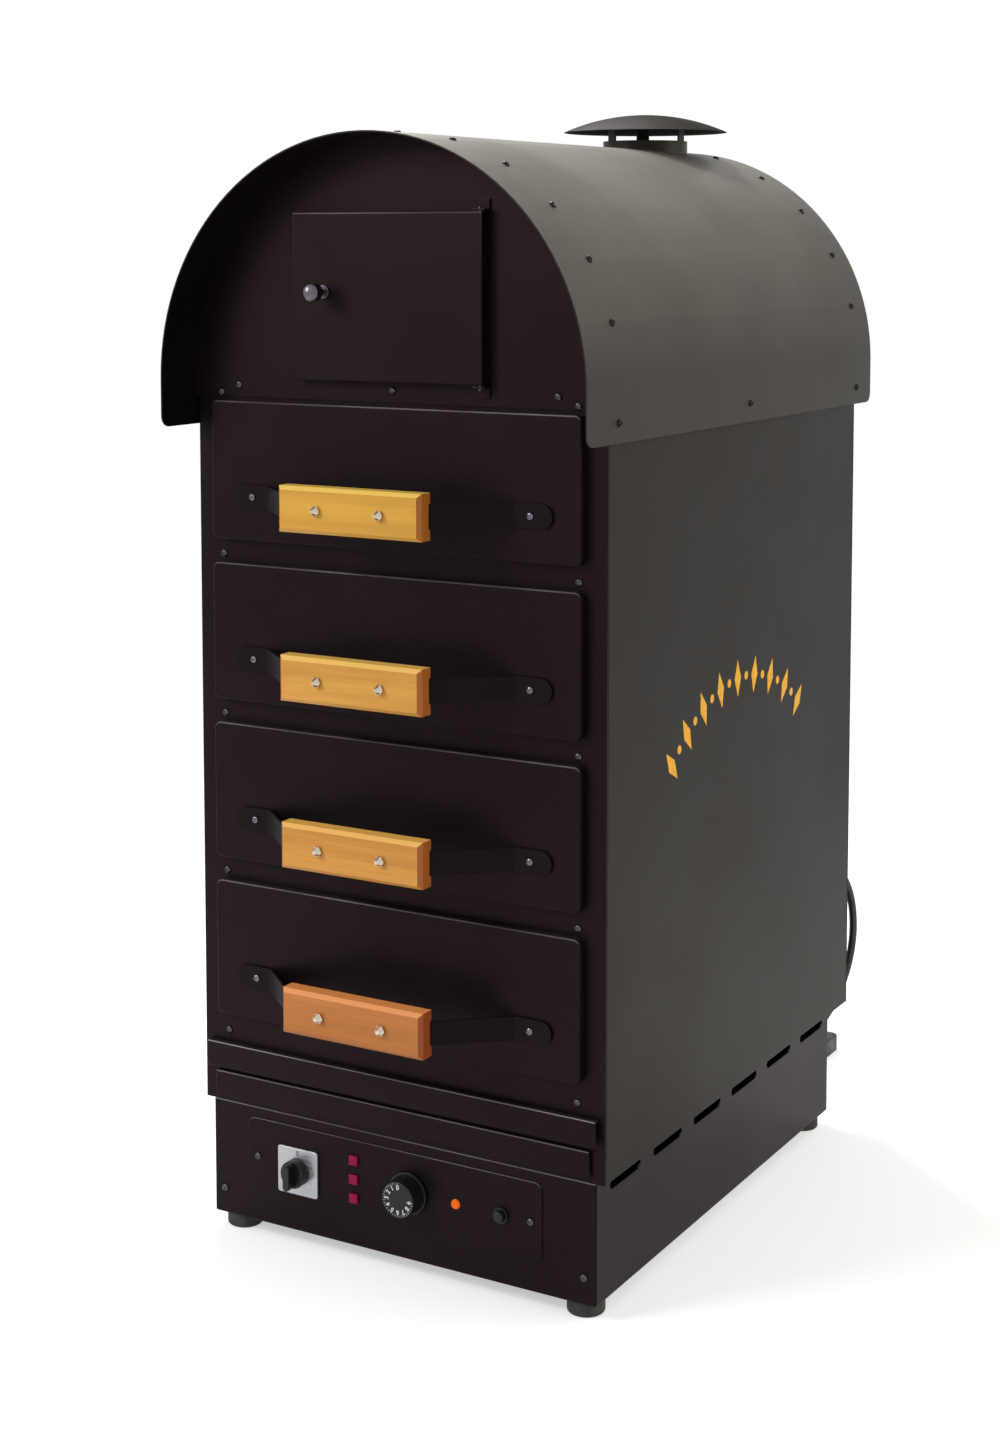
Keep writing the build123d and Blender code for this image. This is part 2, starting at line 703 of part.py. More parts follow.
# ---- Drawers ----
for n in range(drawer_count):
    number = drawer_count - n
    low_z = first_front_z + n * drawer_pitch
    mid_z = low_z + front_h / 2
    handle_z = low_z + front_h - handle_drop
    handle_holes = [(x, handle_z) for x in (-strap_screw, strap_screw)]
    stud_holes = [(x, handle_z) for x in (-stud_x, stud_x)]

    # Front: folded pan with rounded corners
    with BuildPart() as drawer_front:
        with BuildSketch(front_view(face_y)):
            with Locations((0, mid_z)):
                RectangleRounded(front_w, front_h, front_r)
        extrude(amount=-(front_proud - fit))
        with BuildSketch(front_view(face_y + skin_t)):
            with Locations((0, mid_z)):
                RectangleRounded(front_w - 2 * skin_t, front_h - 2 * skin_t, front_r - skin_t)
        extrude(amount=-front_proud, mode=Mode.SUBTRACT)
        with BuildSketch(front_view(face_y)):
            with Locations(*handle_holes):
                Circle(screw_d / 2)
        extrude(amount=-skin_t, mode=Mode.SUBTRACT)
    save(drawer_front, f"drawer_{number}_front")

    # Tray: open steel box welded to the plate that closes the front's back
    with BuildPart() as drawer_tray:
        plate_back = front_y - fit
        with BuildSketch(front_view(plate_back)):
            with Locations((0, mid_z)):
                RectangleRounded(
                    front_w - 2 * skin_t - 2 * fit, front_h - 2 * skin_t - 2 * fit, front_r - skin_t
                )
        extrude(amount=tray_t)
        bottom = tray_z[n]
        tray_end = liner_y1 - liner_t - tray_room
        box_between((-tray_half, plate_back - tray_t, bottom), (tray_half, tray_end, bottom + tray_h))
        box_between(
            (-tray_half + tray_t, plate_back, bottom + tray_t),
            (tray_half - tray_t, tray_end - tray_t, bottom + tray_h),
            mode=Mode.SUBTRACT,
        )
    save(drawer_tray, f"drawer_{number}_tray")

    # Strap: flat bar bent forward between its two screwed feet
    grip_back = face_y - strap_reach
    with BuildPart() as strap:
        with BuildSketch(Plane.XY.offset(handle_z - strap_w / 2)):
            with BuildLine():
                FilletPolyline(
                    (-strap_end, face_y),
                    (-strap_bend, face_y),
                    (-strap_flat, grip_back),
                    (strap_flat, grip_back),
                    (strap_bend, face_y),
                    (strap_end, face_y),
                    radius=strap_r,
                )
                offset(amount=strap_t, side=Side.RIGHT)
            make_face()
        extrude(amount=strap_w)
        tips = strap.edges().filter_by(Axis.Y)
        fillet(tips, radius=strap_w / 2 - fit)
        with BuildSketch(front_view(face_y)):
            with Locations(*handle_holes):
                Circle(screw_d / 2)
            with Locations(*stud_holes):
                Circle(stud_d / 2)
        extrude(amount=strap_reach + strap_t, mode=Mode.SUBTRACT)
    save(strap, f"drawer_{number}_strap")

    # Grip: hardwood bar, chamfered in front, grooved behind for the strap
    with BuildPart() as grip:
        with BuildSketch(front_view(grip_back)):
            with Locations((0, handle_z)):
                Rectangle(grip_w, grip_h)
        extrude(amount=grip_t)
        chamfer(grip.faces().sort_by(Axis.Y)[0].edges(), length=grip_chamfer)
        with BuildSketch(front_view(grip_back)):
            with Locations((0, handle_z)):
                Rectangle(grip_w, strap_w + 2 * fit)
        extrude(amount=strap_t, mode=Mode.SUBTRACT)
        with BuildSketch(front_view(grip_back)):
            with Locations(*stud_holes):
                Circle(stud_d / 2)
        extrude(amount=grip_t, mode=Mode.SUBTRACT)
    save(grip, f"drawer_{number}_grip")

    # Fasteners: two studs with domed nuts, and two dome-headed screws
    with BuildPart() as fasteners:
        grip_face = grip_back - grip_t
        with BuildSketch(front_view(grip_back)):
            with Locations(*stud_holes):
                Circle(stud_d / 2)
        extrude(amount=grip_t)
        with BuildSketch(front_view(grip_back)):
            with Locations(*stud_holes):
                Circle(head_d / 2)
        extrude(amount=-head_h)
        with BuildSketch(front_view(grip_face)):
            with Locations(*stud_holes):
                RegularPolygon(nut_af / 2, 6, major_radius=False)
        extrude(amount=nut_hex)
        with BuildSketch(front_view(grip_face - nut_hex)):
            with Locations(*stud_holes):
                Circle(nut_af / 2)
        extrude(amount=nut_len - nut_hex, taper=nut_taper)
        strap_face = face_y - strap_t
        with BuildSketch(front_view(strap_face)):
            with Locations(*handle_holes):
                Circle(head_d / 2)
        extrude(amount=head_h, taper=head_taper)
        with BuildSketch(front_view(strap_face)):
            with Locations(*handle_holes):
                Circle(screw_d / 2)
        extrude(amount=-(strap_t + skin_t))
    save(fasteners, f"drawer_{number}_fasteners")

# ---- Control plate ----
lamp_z = [plate_z + (n - (lamp_count - 1) / 2) * lamp_pitch for n in range(lamp_count)]
isolator_z = plate_z - isolator_drop
with BuildPart() as control_plate:
    with BuildSketch(front_view(front_y)):
        with Locations((plate_x, plate_z)):
            RectangleRounded(plate_w, plate_h, plate_r)
        with Locations((isolator_x, isolator_z)):
            Rectangle(isolator_body_w, isolator_body_w, mode=Mode.SUBTRACT)
        with Locations((thermostat_x, plate_z)):
            Circle(shaft_d / 2 + running, mode=Mode.SUBTRACT)
        with Locations((amber_x, plate_z)):
            Circle(amber_d / 2 - lamp_lip, mode=Mode.SUBTRACT)
        with Locations((button_x, plate_z)):
            Circle(bush_d / 2 - bush_lip, mode=Mode.SUBTRACT)
        for z in lamp_z:
            with Locations((lamp_x, z)):
                Rectangle(lamp_w - 2 * lamp_lip, lamp_w - 2 * lamp_lip, mode=Mode.SUBTRACT)
        with Locations(*plate_spots):
            Circle(screw_d / 2, mode=Mode.SUBTRACT)
    extrude(amount=skin_t)
save(control_plate, "control_plate")

# ---- Panel screws: dome heads in the frame, the arched front, the plinth and the back ----
with BuildPart() as panel_screws:
    for y, out, spots, shank in (
        (front_y, 1, frame_spots + base_spots, frame_t),
        (panel_y, 1, arch_spots, skin_t),
        (plate_y, 1, plate_spots, skin_t),
        (back_y, -1, back_spots, skin_t),
    ):
        with BuildSketch(front_view(y)):
            with Locations(*spots):
                Circle(head_d / 2)
        extrude(amount=out * head_h, taper=out * head_taper)
        with BuildSketch(front_view(y)):
            with Locations(*spots):
                Circle(screw_d / 2)
        extrude(amount=-out * shank)
save(panel_screws, "panel_screws")

# ---- Isolator switch: square plate with the switch body behind it, and its knob ----
with BuildPart() as isolator_switch:
    with BuildSketch(front_view(plate_y)):
        with Locations((isolator_x, isolator_z)):
            RectangleRounded(isolator_w, isolator_w, isolator_r)
    extrude(amount=isolator_t)
    with BuildSketch(front_view(plate_y)):
        with Locations((isolator_x, isolator_z)):
            Rectangle(isolator_body_w - 2 * fit, isolator_body_w - 2 * fit)
    extrude(amount=-isolator_body_d)
    with BuildSketch(front_view(plate_y - isolator_t)):
        with Locations((isolator_x, isolator_z)):
            Circle(shaft_d / 2 + running)
    extrude(amount=-(isolator_t + shaft_in + knob_gap), mode=Mode.SUBTRACT)
save(isolator_switch, "isolator_switch")

isolator_face = plate_y - isolator_t - knob_gap
with BuildPart() as isolator_knob:
    with BuildSketch(front_view(isolator_face)):
        with Locations((isolator_x, isolator_z)):
            Circle(isolator_knob_d / 2)
    extrude(amount=isolator_knob_h)
    with BuildSketch(front_view(isolator_face - isolator_knob_h)):
        with Locations((isolator_x, isolator_z)):
            SlotOverall(grip_bar_l, grip_bar_w, rotation=90)
    extrude(amount=grip_bar_h)
    with BuildSketch(front_view(isolator_face)):
        with Locations((isolator_x, isolator_z)):
            Circle(shaft_d / 2)
    extrude(amount=-(isolator_t + knob_gap + shaft_in))
save(isolator_knob, "isolator_knob")

# ---- Thermostat: body behind the plate, dial in front ----
with BuildPart() as thermostat_body:
    with BuildSketch(front_view(front_y)):
        with Locations((thermostat_x, plate_z)):
            Rectangle(thermostat_w, thermostat_w)
    extrude(amount=-thermostat_body_d)
    with BuildSketch(front_view(front_y)):
        with Locations((thermostat_x, plate_z)):
            Circle(shaft_d / 2 + running)
    extrude(amount=-shaft_in - knob_gap, mode=Mode.SUBTRACT)
save(thermostat_body, "thermostat_body")

dial_y = plate_y - knob_gap
with BuildPart() as thermostat_dial:
    with BuildSketch(front_view(dial_y)):
        with Locations((thermostat_x, plate_z)):
            Circle(dial_d / 2)
    extrude(amount=dial_skirt)
    with BuildSketch(front_view(dial_y - dial_skirt)):
        with Locations((thermostat_x, plate_z)):
            Circle(dial_d / 2 - dial_rim)
    extrude(amount=dial_h - dial_skirt, taper=dial_taper)
    with BuildSketch(front_view(dial_y)):
        with Locations((thermostat_x, plate_z)):
            Circle(shaft_d / 2)
    extrude(amount=-(skin_t + knob_gap + shaft_in))
save(thermostat_dial, "thermostat_dial")

# ---- Indicator lamps ----
with BuildPart() as red_lamps:
    for z in lamp_z:
        with BuildSketch(front_view(plate_y)):
            with Locations((lamp_x, z)):
                Rectangle(lamp_w, lamp_w)
        extrude(amount=lamp_proud)
        with BuildSketch(front_view(plate_y)):
            with Locations((lamp_x, z)):
                Rectangle(lamp_w - 2 * lamp_lip - fit, lamp_w - 2 * lamp_lip - fit)
        extrude(amount=-lamp_deep)
save(red_lamps, "red_lamps")

with BuildPart() as amber_lamp:
    with BuildSketch(front_view(plate_y)):
        with Locations((amber_x, plate_z)):
            Circle(amber_d / 2)
    extrude(amount=lamp_proud, taper=amber_taper)
    with BuildSketch(front_view(plate_y)):
        with Locations((amber_x, plate_z)):
            Circle(amber_d / 2 - lamp_lip - fit)
    extrude(amount=-lamp_deep)
save(amber_lamp, "amber_lamp")

# ---- Reset button in its threaded bush ----
with BuildPart() as button_bush:
    with BuildSketch(front_view(plate_y)):
        with Locations((button_x, plate_z)):
            Circle(bush_d / 2)
    extrude(amount=bush_proud)
    with BuildSketch(front_view(plate_y)):
        with Locations((button_x, plate_z)):
            Circle(bush_d / 2 - bush_lip - fit)
    extrude(amount=-bush_deep)
    with BuildSketch(front_view(plate_y - bush_proud)):
        with Locations((button_x, plate_z)):
            Circle(button_d / 2 + running)
    extrude(amount=-(bush_proud + button_travel + knob_gap), mode=Mode.SUBTRACT)
save(button_bush, "button_bush")

with BuildPart() as reset_button:
    with BuildSketch(front_view(plate_y - button_proud)):
        with Locations((button_x, plate_z)):
            Circle(button_d / 2)
    extrude(amount=-button_proud)
    fillet(reset_button.faces().sort_by(Axis.Y)[0].edges(), radius=button_edge)
save(reset_button, "reset_button")

# ---- Terminal block inside the back panel, and the gland of the mains lead ----
with BuildPart() as terminal_block:
    with BuildSketch(front_view(back_y - skin_t)):
        with Locations((gland_x - terminal_w, gland_z)):
            Rectangle(terminal_w, terminal_h)
    extrude(amount=terminal_d)
save(terminal_block, "terminal_block")

with BuildPart() as cord_gland:
    with BuildSketch(Plane(origin=(gland_x, back_y, gland_z), x_dir=(1, 0, 0), z_dir=(0, 0, 1))):
        with BuildLine():
            body = gland_d / 2
            neck = gland_d / 2 - gland_step - fit
            Polyline(
                (0, -skin_t - gland_nut),
                (body - gland_wall, -skin_t - gland_nut),
                (body - gland_wall, -skin_t),
                (neck, -skin_t),
                (neck, 0),
                (body, 0),
                (body, gland_nut),
                (body - gland_bevel, gland_nut + gland_bevel),
                (cord_d / 2 + gland_wall, gland_len),
                (0, gland_len),
                close=True,
            )
        make_face()
    revolve(axis=Axis((gland_x, back_y, gland_z), (0, 1, 0)))
save(cord_gland, "cord_gland")

# ---- Mains lead: coil behind the oven, wound inwards above and outwards below ----
layer_z = (cord_d / 2 + floor_gap + coil_pitch, cord_d / 2 + floor_gap)
coil_y = back_y + coil_back
outer_r = coil_r + coil_half_turns * coil_pitch / 4
with BuildPart() as cord_coil:
    with BuildLine() as coil_path:
        radius = outer_r
        centre = Vector(coil_x, coil_y, layer_z[0])
        start = centre + Vector(0, -radius, 0)
        Line(start + Vector(cord_d, 0, 0), start)
        point = start
        side = -1
        for n in range(coil_half_turns):
            centre = point + Vector(0, -side * radius, 0)
            far = centre + Vector(0, -side * radius, 0)
            ThreePointArc(point, centre + Vector(side * radius, 0, 0), far)
            point = far
            side = -side
            radius -= coil_pitch / 2
        rise = layer_z[1] - layer_z[0]
        spread = math.sqrt(radius**2 + rise**2 / 4)
        centre = point + Vector(0, -side * radius, 0)
        half_way = centre + Vector(side * spread, 0, rise / 2)
        far = centre + Vector(0, -side * radius, rise)
        first = TangentArc(point, half_way, tangent=(side, 0, 0))
        TangentArc(half_way, far, tangent=first % 1)
        point = far
        side = -side
        radius += coil_pitch / 2
        for n in range(coil_half_turns):
            centre = point + Vector(0, -side * radius, 0)
            far = centre + Vector(0, -side * radius, 0)
            ThreePointArc(point, centre + Vector(side * radius, 0, 0), far)
            point = far
            side = -side
            radius += coil_pitch / 2
        coil_end = Line(point, point + Vector(side * cord_d, 0, 0)) @ 1
    with BuildSketch(Plane(origin=coil_path.wire() @ 0, z_dir=coil_path.wire() % 0)):
        Circle(cord_d / 2)
    sweep(path=coil_path.wire())
save(cord_coil, "cord_coil")
coil_length = coil_path.wire().length
coil_share = cord_coil.part.volume / (math.pi * (cord_d / 2) ** 2 * coil_length)
samples = 360
step = coil_length / samples
coil_points = [tuple(coil_path.wire() @ (n / samples)) for n in range(samples + 1)]
apart = math.ceil(math.pi * cord_d / step)
least_gap = min(
    math.dist(coil_points[i], coil_points[j]) - cord_d
    for i in range(samples + 1)
    for j in range(i + apart, samples + 1)
)
print(f"coil: length {coil_length:.0f}, volume share {coil_share:.4f}, least gap {least_gap:.2f}")

# ---- Mains lead: free stretch from the gland down to the coil ----
coil_start = coil_path.wire() @ 0
cord_route = [
    (gland_x, back_y + gland_len, gland_z),
    (gland_x, back_y + 56, gland_z),
    (gland_x + 6, back_y + 80, gland_z - 13),
    (gland_x + 14, back_y + 95, gland_z - 37),
    (gland_x + 20, back_y + 98, gland_z - 70),
    (gland_x + 22, back_y + 93, gland_z - 108),
    (gland_x + 17, back_y + 82, gland_z - 150),
    (gland_x + 3, back_y + 71, gland_z - 192),
    (gland_x - 21, back_y + 64, gland_z - 230),
    (gland_x - 55, back_y + 61, gland_z - 258),
    (gland_x - 93, coil_start.Y, layer_z[0] + 4),
    (coil_start.X + 40, coil_start.Y, layer_z[0]),
    tuple(coil_start),
]
tail_route = [
    tuple(coil_end),
    (coil_end.X + 20, coil_end.Y, coil_end.Z),
    (coil_end.X + 41, coil_end.Y + 6, coil_end.Z),
    (coil_end.X + 61, coil_end.Y + 6, coil_end.Z),
]


def bend_radii(points):
    """For each corner of a route, the largest neat arc: 0.45 of the shorter run over tan of half the turn."""
    radii = []
    for before, at, after in zip(points, points[1:], points[2:]):
        run_in = Vector(at) - Vector(before)
        run_out = Vector(after) - Vector(at)
        half_turn = math.radians(run_in.get_angle(run_out)) / 2
        radii.append(0.45 * min(run_in.length, run_out.length) / math.tan(half_turn))
    return radii


with BuildPart() as power_cord:
    cord_length = 0.0
    for route in (cord_route, tail_route):
        radii = bend_radii(route)
        with BuildLine(mode=Mode.PRIVATE) as cord_path:
            FilletPolyline(*route, radius=radii)
        with BuildSketch(Plane(origin=cord_path.wire() @ 0, z_dir=cord_path.wire() % 0)):
            Circle(cord_d / 2)
        sweep(path=cord_path.wire())
        cord_length += cord_path.wire().length
        print("cord radii:", [round(r) for r in radii])
save(power_cord, "power_cord")
cord_share = power_cord.part.volume / (math.pi * (cord_d / 2) ** 2 * cord_length)
print(f"cord: free length {cord_length:.0f}, volume share {cord_share:.4f}")

# ---- Plug: moulded body lying on its back, pins up ----
neck_x, plug_y = tail_route[-1][:2]
plug_x = neck_x + plug_neck_l
with BuildPart() as mains_plug:
    with BuildSketch(Plane.XY):
        with Locations((plug_x + plug_l / 2, plug_y)):
            RectangleRounded(plug_l, plug_w, plug_r)
    extrude(amount=plug_h)
    fillet(mains_plug.faces().sort_by(Axis.Z)[-1].edges(), radius=plug_edge)
    box_between(
        (neck_x, plug_y - plug_neck_w / 2, 0),
        (plug_x + plug_r, plug_y + plug_neck_w / 2, plug_neck_h),
    )
    with BuildSketch(Plane.XY.offset(plug_h)):
        for x, y, w, h in pins:
            with Locations((plug_x + plug_l - x, plug_y + y)):
                Rectangle(w, h)
    extrude(amount=pin_len)
save(mains_plug, "mains_plug")
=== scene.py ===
"""Baked potato oven: a black steel cabinet with four drawers, a vaulted roof and a capped flue.
Metres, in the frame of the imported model: +Z is up and the front faces -Y."""

import math

import bmesh
import bpy
from mathutils import Matrix, Vector


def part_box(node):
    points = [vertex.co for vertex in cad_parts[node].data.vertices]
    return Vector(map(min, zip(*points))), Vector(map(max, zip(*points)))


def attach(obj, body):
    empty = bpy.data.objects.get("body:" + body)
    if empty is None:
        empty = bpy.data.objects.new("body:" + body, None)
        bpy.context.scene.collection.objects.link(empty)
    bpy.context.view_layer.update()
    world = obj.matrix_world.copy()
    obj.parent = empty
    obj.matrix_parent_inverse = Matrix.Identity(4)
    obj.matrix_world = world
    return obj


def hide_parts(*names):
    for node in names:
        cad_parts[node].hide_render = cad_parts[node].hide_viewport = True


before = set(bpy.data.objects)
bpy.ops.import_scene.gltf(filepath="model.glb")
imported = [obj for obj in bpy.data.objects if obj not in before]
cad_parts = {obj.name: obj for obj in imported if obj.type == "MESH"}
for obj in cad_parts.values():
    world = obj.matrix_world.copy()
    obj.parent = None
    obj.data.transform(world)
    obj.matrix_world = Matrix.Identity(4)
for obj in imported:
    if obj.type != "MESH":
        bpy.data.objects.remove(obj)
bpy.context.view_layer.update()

# ---- Rubber feet ----
# Four black moulded rubber pads stand under the corners of the plinth.
# Each is a plain disc with a chamfered lower edge, dull and dusty where it meets the floor.
weld_gap = 2e-6  # a solid's mesh comes as loose triangles, which this joins
flat_turn = math.radians(0.4)  # faces that turn less than this are one flat face
crease = math.radians(35.0)  # an edge that turns more than this stays sharp, or is rounded
first_colour, second_colour, mixed_colour = 6, 7, 2  # the colour sockets of a Mix node
foot_edge = 0.001


def add(tree, kind, inputs=None, output=0, **settings):
    """Adds a node, whose inputs are plain values or other nodes' sockets. Returns one output."""
    made = tree.nodes.new(kind)
    for key, value in settings.items():
        setattr(made, key, value)
    for key, value in (inputs or {}).items():
        if isinstance(value, bpy.types.NodeSocket):
            tree.links.new(value, made.inputs[key])
        else:
            made.inputs[key].default_value = value
    return made.outputs[output]


def coating(name, colour, roughness, metallic=0.0, **more):
    """New material with plain values on its shader. Coat_Weight, say, is the Coat Weight socket."""
    material = bpy.data.materials.new(name)
    material.use_nodes = True
    shader = material.node_tree.nodes["Principled BSDF"]
    shader.inputs["Base Color"].default_value = (*colour, 1.0)
    shader.inputs["Roughness"].default_value = roughness
    shader.inputs["Metallic"].default_value = metallic
    for key, value in more.items():
        shader.inputs[key.replace("_", " ")].default_value = value
    return material


def wire(material, socket, source):
    """Leads a node's output to a socket of the material's shader."""
    tree = material.node_tree
    tree.links.new(source, tree.nodes["Principled BSDF"].inputs[socket])


def noise(material, scale, detail=3.0, stretch=(1.0, 1.0, 1.0)):
    """Noise on the piece's own coordinates, with the scale in waves per metre."""
    tree = material.node_tree
    spot = add(tree, "ShaderNodeTexCoord", output="Object")
    spot = add(tree, "ShaderNodeMapping", {"Vector": spot, "Scale": stretch})
    return add(tree, "ShaderNodeTexNoise", {"Vector": spot, "Scale": scale, "Detail": detail})


def spread(material, factor, low=0.0, high=1.0, start=0.35, end=0.65):
    """A value, such as noise, that runs from start to end, spread from low to high."""
    levels = {"Value": factor, "From Min": start, "From Max": end, "To Min": low, "To Max": high}
    return add(material.node_tree, "ShaderNodeMapRange", levels)


def mixed(material, factor, first, second):
    """Two colours mixed by a factor. Each is its red, green and blue, or a node's output."""
    levels = {0: factor}
    for socket, colour in ((first_colour, first), (second_colour, second)):
        levels[socket] = colour if isinstance(colour, bpy.types.NodeSocket) else (*colour, 1.0)
    return add(material.node_tree, "ShaderNodeMix", levels, output=mixed_colour, data_type="RGBA")


def pitted(material, height, depth):
    """Bumps of that depth in metres, from a height between 0 and 1."""
    levels = {"Height": height, "Distance": depth}
    wire(material, "Normal", add(material.node_tree, "ShaderNodeBump", levels))


def shaped(name, node, radius=0.0, chosen=lambda low, high: True, steps=3):
    """Merged copy of a solid's mesh, with the chosen sharp edges rounded."""
    mesh = bpy.data.meshes.new(name)
    work = bmesh.new()
    work.from_mesh(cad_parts[node].data)
    bmesh.ops.remove_doubles(work, verts=work.verts, dist=weld_gap)
    bmesh.ops.dissolve_limit(work, angle_limit=flat_turn, verts=work.verts, edges=work.edges)
    if radius:
        edges = []
        for edge in work.edges:
            if len(edge.link_faces) != 2 or not edge.is_convex:
                continue
            ends = [vert.co for vert in edge.verts]
            low = Vector(map(min, *ends))
            high = Vector(map(max, *ends))
            if edge.calc_face_angle() > crease and chosen(low, high):
                edges.append(edge)
        bmesh.ops.bevel(
            work, geom=edges, offset=radius, segments=steps, profile=0.5,
            affect="EDGES", clamp_overlap=True,
        )
    work.to_mesh(mesh)
    work.free()
    if "custom_normal" in mesh.attributes:
        mesh.attributes.remove(mesh.attributes["custom_normal"])
    mesh.shade_smooth()
    mesh.set_sharp_from_angle(angle=crease)
    piece = bpy.data.objects.new(name, mesh)
    bpy.context.scene.collection.objects.link(piece)
    if radius:
        piece.modifiers.new("even_shading", "WEIGHTED_NORMAL").keep_sharp = True
    return piece


def fitted(piece, body, slot, material, *nodes):
    """Gives a piece its material, and a body to move with; its slot, the finish, is not used. It
    hides what it replaces.
    """
    piece.data.materials.clear()
    piece.data.materials.append(material)
    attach(piece, body)
    if nodes:
        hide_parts(*nodes)
    return piece


def finished(name, node, body, slot, material, radius=0.0, steps=3):
    """Copy of a solid, with its sharp edges rounded, that stands for the solid."""
    return fitted(shaped(name, node, radius, steps=steps), body, slot, material, node)


foot_rubber = coating("foot_rubber", (0.018, 0.017, 0.016), roughness=0.75)
scuffed = spread(foot_rubber, noise(foot_rubber, scale=90.0))
scuffed = mixed(foot_rubber, scuffed, (0.013, 0.012, 0.012), (0.045, 0.042, 0.038))
wire(foot_rubber, "Base Color", scuffed)
pitted(foot_rubber, noise(foot_rubber, scale=900.0), depth=0.0002)
finished("feet", "rubber_feet", "cabinet", "rubber", foot_rubber, foot_edge)

# ---- Plinth ----
# A folded box of black powder-coated steel, set in under the cabinet, with six air slots a side.
# Its folds are rounded, and the coat has a fine orange-peel skin with faint wipe marks and dust,
# and a painted highlight along its upper front folds.
fold_r = 0.002
black_paint = (0.0050, 0.0034, 0.0038)
# colour of the dust on what faces up, which is also painted light from above
dust = (0.30, 0.28, 0.24)
# colour of the painted highlight along the upper front folds
rubbed_paint = (0.30, 0.28, 0.31)
wiped_gain = 1.45  # how much lighter the paint is where it was wiped


def calc(tree, operation, first, second=0.0):
    """One step of arithmetic."""
    return add(tree, "ShaderNodeMath", {0: first, 1: second}, operation=operation)


def product(tree, first, *others):
    """Several values multiplied."""
    for other in others:
        first = calc(tree, "MULTIPLY", first, other)
    return first


def parts_of(tree, vector):
    """The X, Y and Z of a vector."""
    split = tree.nodes.new("ShaderNodeSeparateXYZ")
    tree.links.new(vector, split.inputs[0])
    return split.outputs


def powder_coat(
    name, colour, roughness, dust_and_light, sheen=(1.0, 0.58, 0.64), level=0.115, dust_from=0.35, wear=0.62
):
    """Baked powder coat with a fine orange peel and a cloudy gloss. Dust and painted light from
    above lie on what faces up, from the given share of straight up on, and the upper front folds
    get a painted highlight, by the given share."""
    coat = coating(name, colour, roughness, Specular_IOR_Level=level, Specular_Tint=(*sheen, 1.0))
    tree = coat.node_tree
    clouds = noise(coat, scale=5.0, detail=4.0)
    wipes = noise(coat, scale=6.0)
    wire(coat, "Roughness", spread(coat, wipes, roughness - 0.03, roughness + 0.04))
    wiped = mixed(coat, spread(coat, wipes), colour, [wiped_gain * part for part in colour])
    facing = parts_of(tree, add(tree, "ShaderNodeTexCoord", output="Normal"))
    # dust and painted light from above on what faces up, in patches
    lying = spread(coat, facing["Z"], high=dust_and_light, start=dust_from, end=1.0)
    patches = spread(coat, clouds, low=0.55)
    dusty_and_lit = mixed(coat, product(tree, lying, patches), wiped, dust)
    on_fold = product(tree, facing["Z"], facing["Y"], -2.0)  # 1 between a top and a front
    # painted highlight along the upper front folds, in patches
    highlight_patches = spread(coat, clouds, 0.25 * wear, wear)
    rubbed = product(tree, spread(coat, on_fold, start=0.3, end=0.9), highlight_patches)
    wire(coat, "Base Color", mixed(coat, rubbed, dusty_and_lit, rubbed_paint))
    pitted(coat, noise(coat, scale=650.0, detail=2.0), depth=0.00007)
    return coat


black_coat = powder_coat("black_coat", black_paint, roughness=0.40, dust_and_light=0.05)


def outer_fold(low, high, box, reach=0.0005):
    """True for an edge that runs along two outer faces of the box."""
    sides = 0
    for axis in range(3):
        sides += high[axis] < box[0][axis] + reach or low[axis] > box[1][axis] - reach
    return sides > 1


def folded(name, node, body="cabinet", radius=fold_r, material=black_coat, test=outer_fold):
    """Sheet piece with rounded outer folds."""
    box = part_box(node)
    piece = shaped(name, node, radius, lambda low, high: test(low, high, box))
    return fitted(piece, body, "black_steel", material, node)


folded("plinth", "base_plinth")

# ---- Cabinet panels ----
# Folded sheets of black steel: two sides, a back, two floors and the front frame with its openings.
# The long outer folds of the sides are rounded, and the edges of the other sheets are only broken.
broken_edge = 0.0004
# The sides get a warmer copy of the coat, in base and in sheen: painted warm light from the side.
side_warm_light_coat = powder_coat(
    "side_warm_light_coat", (0.0052, 0.0041, 0.0030), roughness=0.42, dust_and_light=0.05, sheen=(1.0, 0.81, 0.65)
)


def painted(node, material):
    """A solid whose own mesh is kept gets a material."""
    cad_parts[node].data.materials.clear()
    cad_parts[node].data.materials.append(material)


for side in ("left_side", "right_side"):
    folded(side, f"{side}_panel", material=side_warm_light_coat)
for name, node in (
    ("back", "back_panel"), ("frame_sheet", "front_frame"), ("deck", "compartment_floor"),
):
    folded(name, node, radius=broken_edge)
painted("body_floor", black_coat)

# ---- Ornament on the right side ----
# A plain painted garland in yellow enamel: lozenges with dots between them, stencilled on an arch.
# The enamel is darker in the patches where it is thin.
quarter = math.pi / 2
arch_steps = 64
lozenge_corners, dot_corners = 4, 16


def sized_tree(name, sizes):
    """Node tree that works on a piece's mesh by named sizes, and the sockets that bring them."""
    tree = bpy.data.node_groups.new(name, "GeometryNodeTree")
    sockets = tree.interface
    sockets.new_socket("Geometry", in_out="INPUT", socket_type="NodeSocketGeometry")
    for label, size in sizes.items():
        kind = "NodeSocketInt" if isinstance(size, int) else "NodeSocketFloat"
        sockets.new_socket(label, in_out="INPUT", socket_type=kind).default_value = size
    sockets.new_socket("Geometry", in_out="OUTPUT", socket_type="NodeSocketGeometry")
    return tree, tree.nodes.new("NodeGroupInput").outputs


def realised(tree, copies, material):
    """Ends a tree: what it repeats is made real and gets its material."""
    copies = add(tree, "GeometryNodeRealizeInstances", {"Geometry": copies})
    copies = add(tree, "GeometryNodeSetMaterial", {"Geometry": copies, "Material": material})
    tree.links.new(copies, tree.nodes.new("NodeGroupOutput").inputs[0])
    return tree


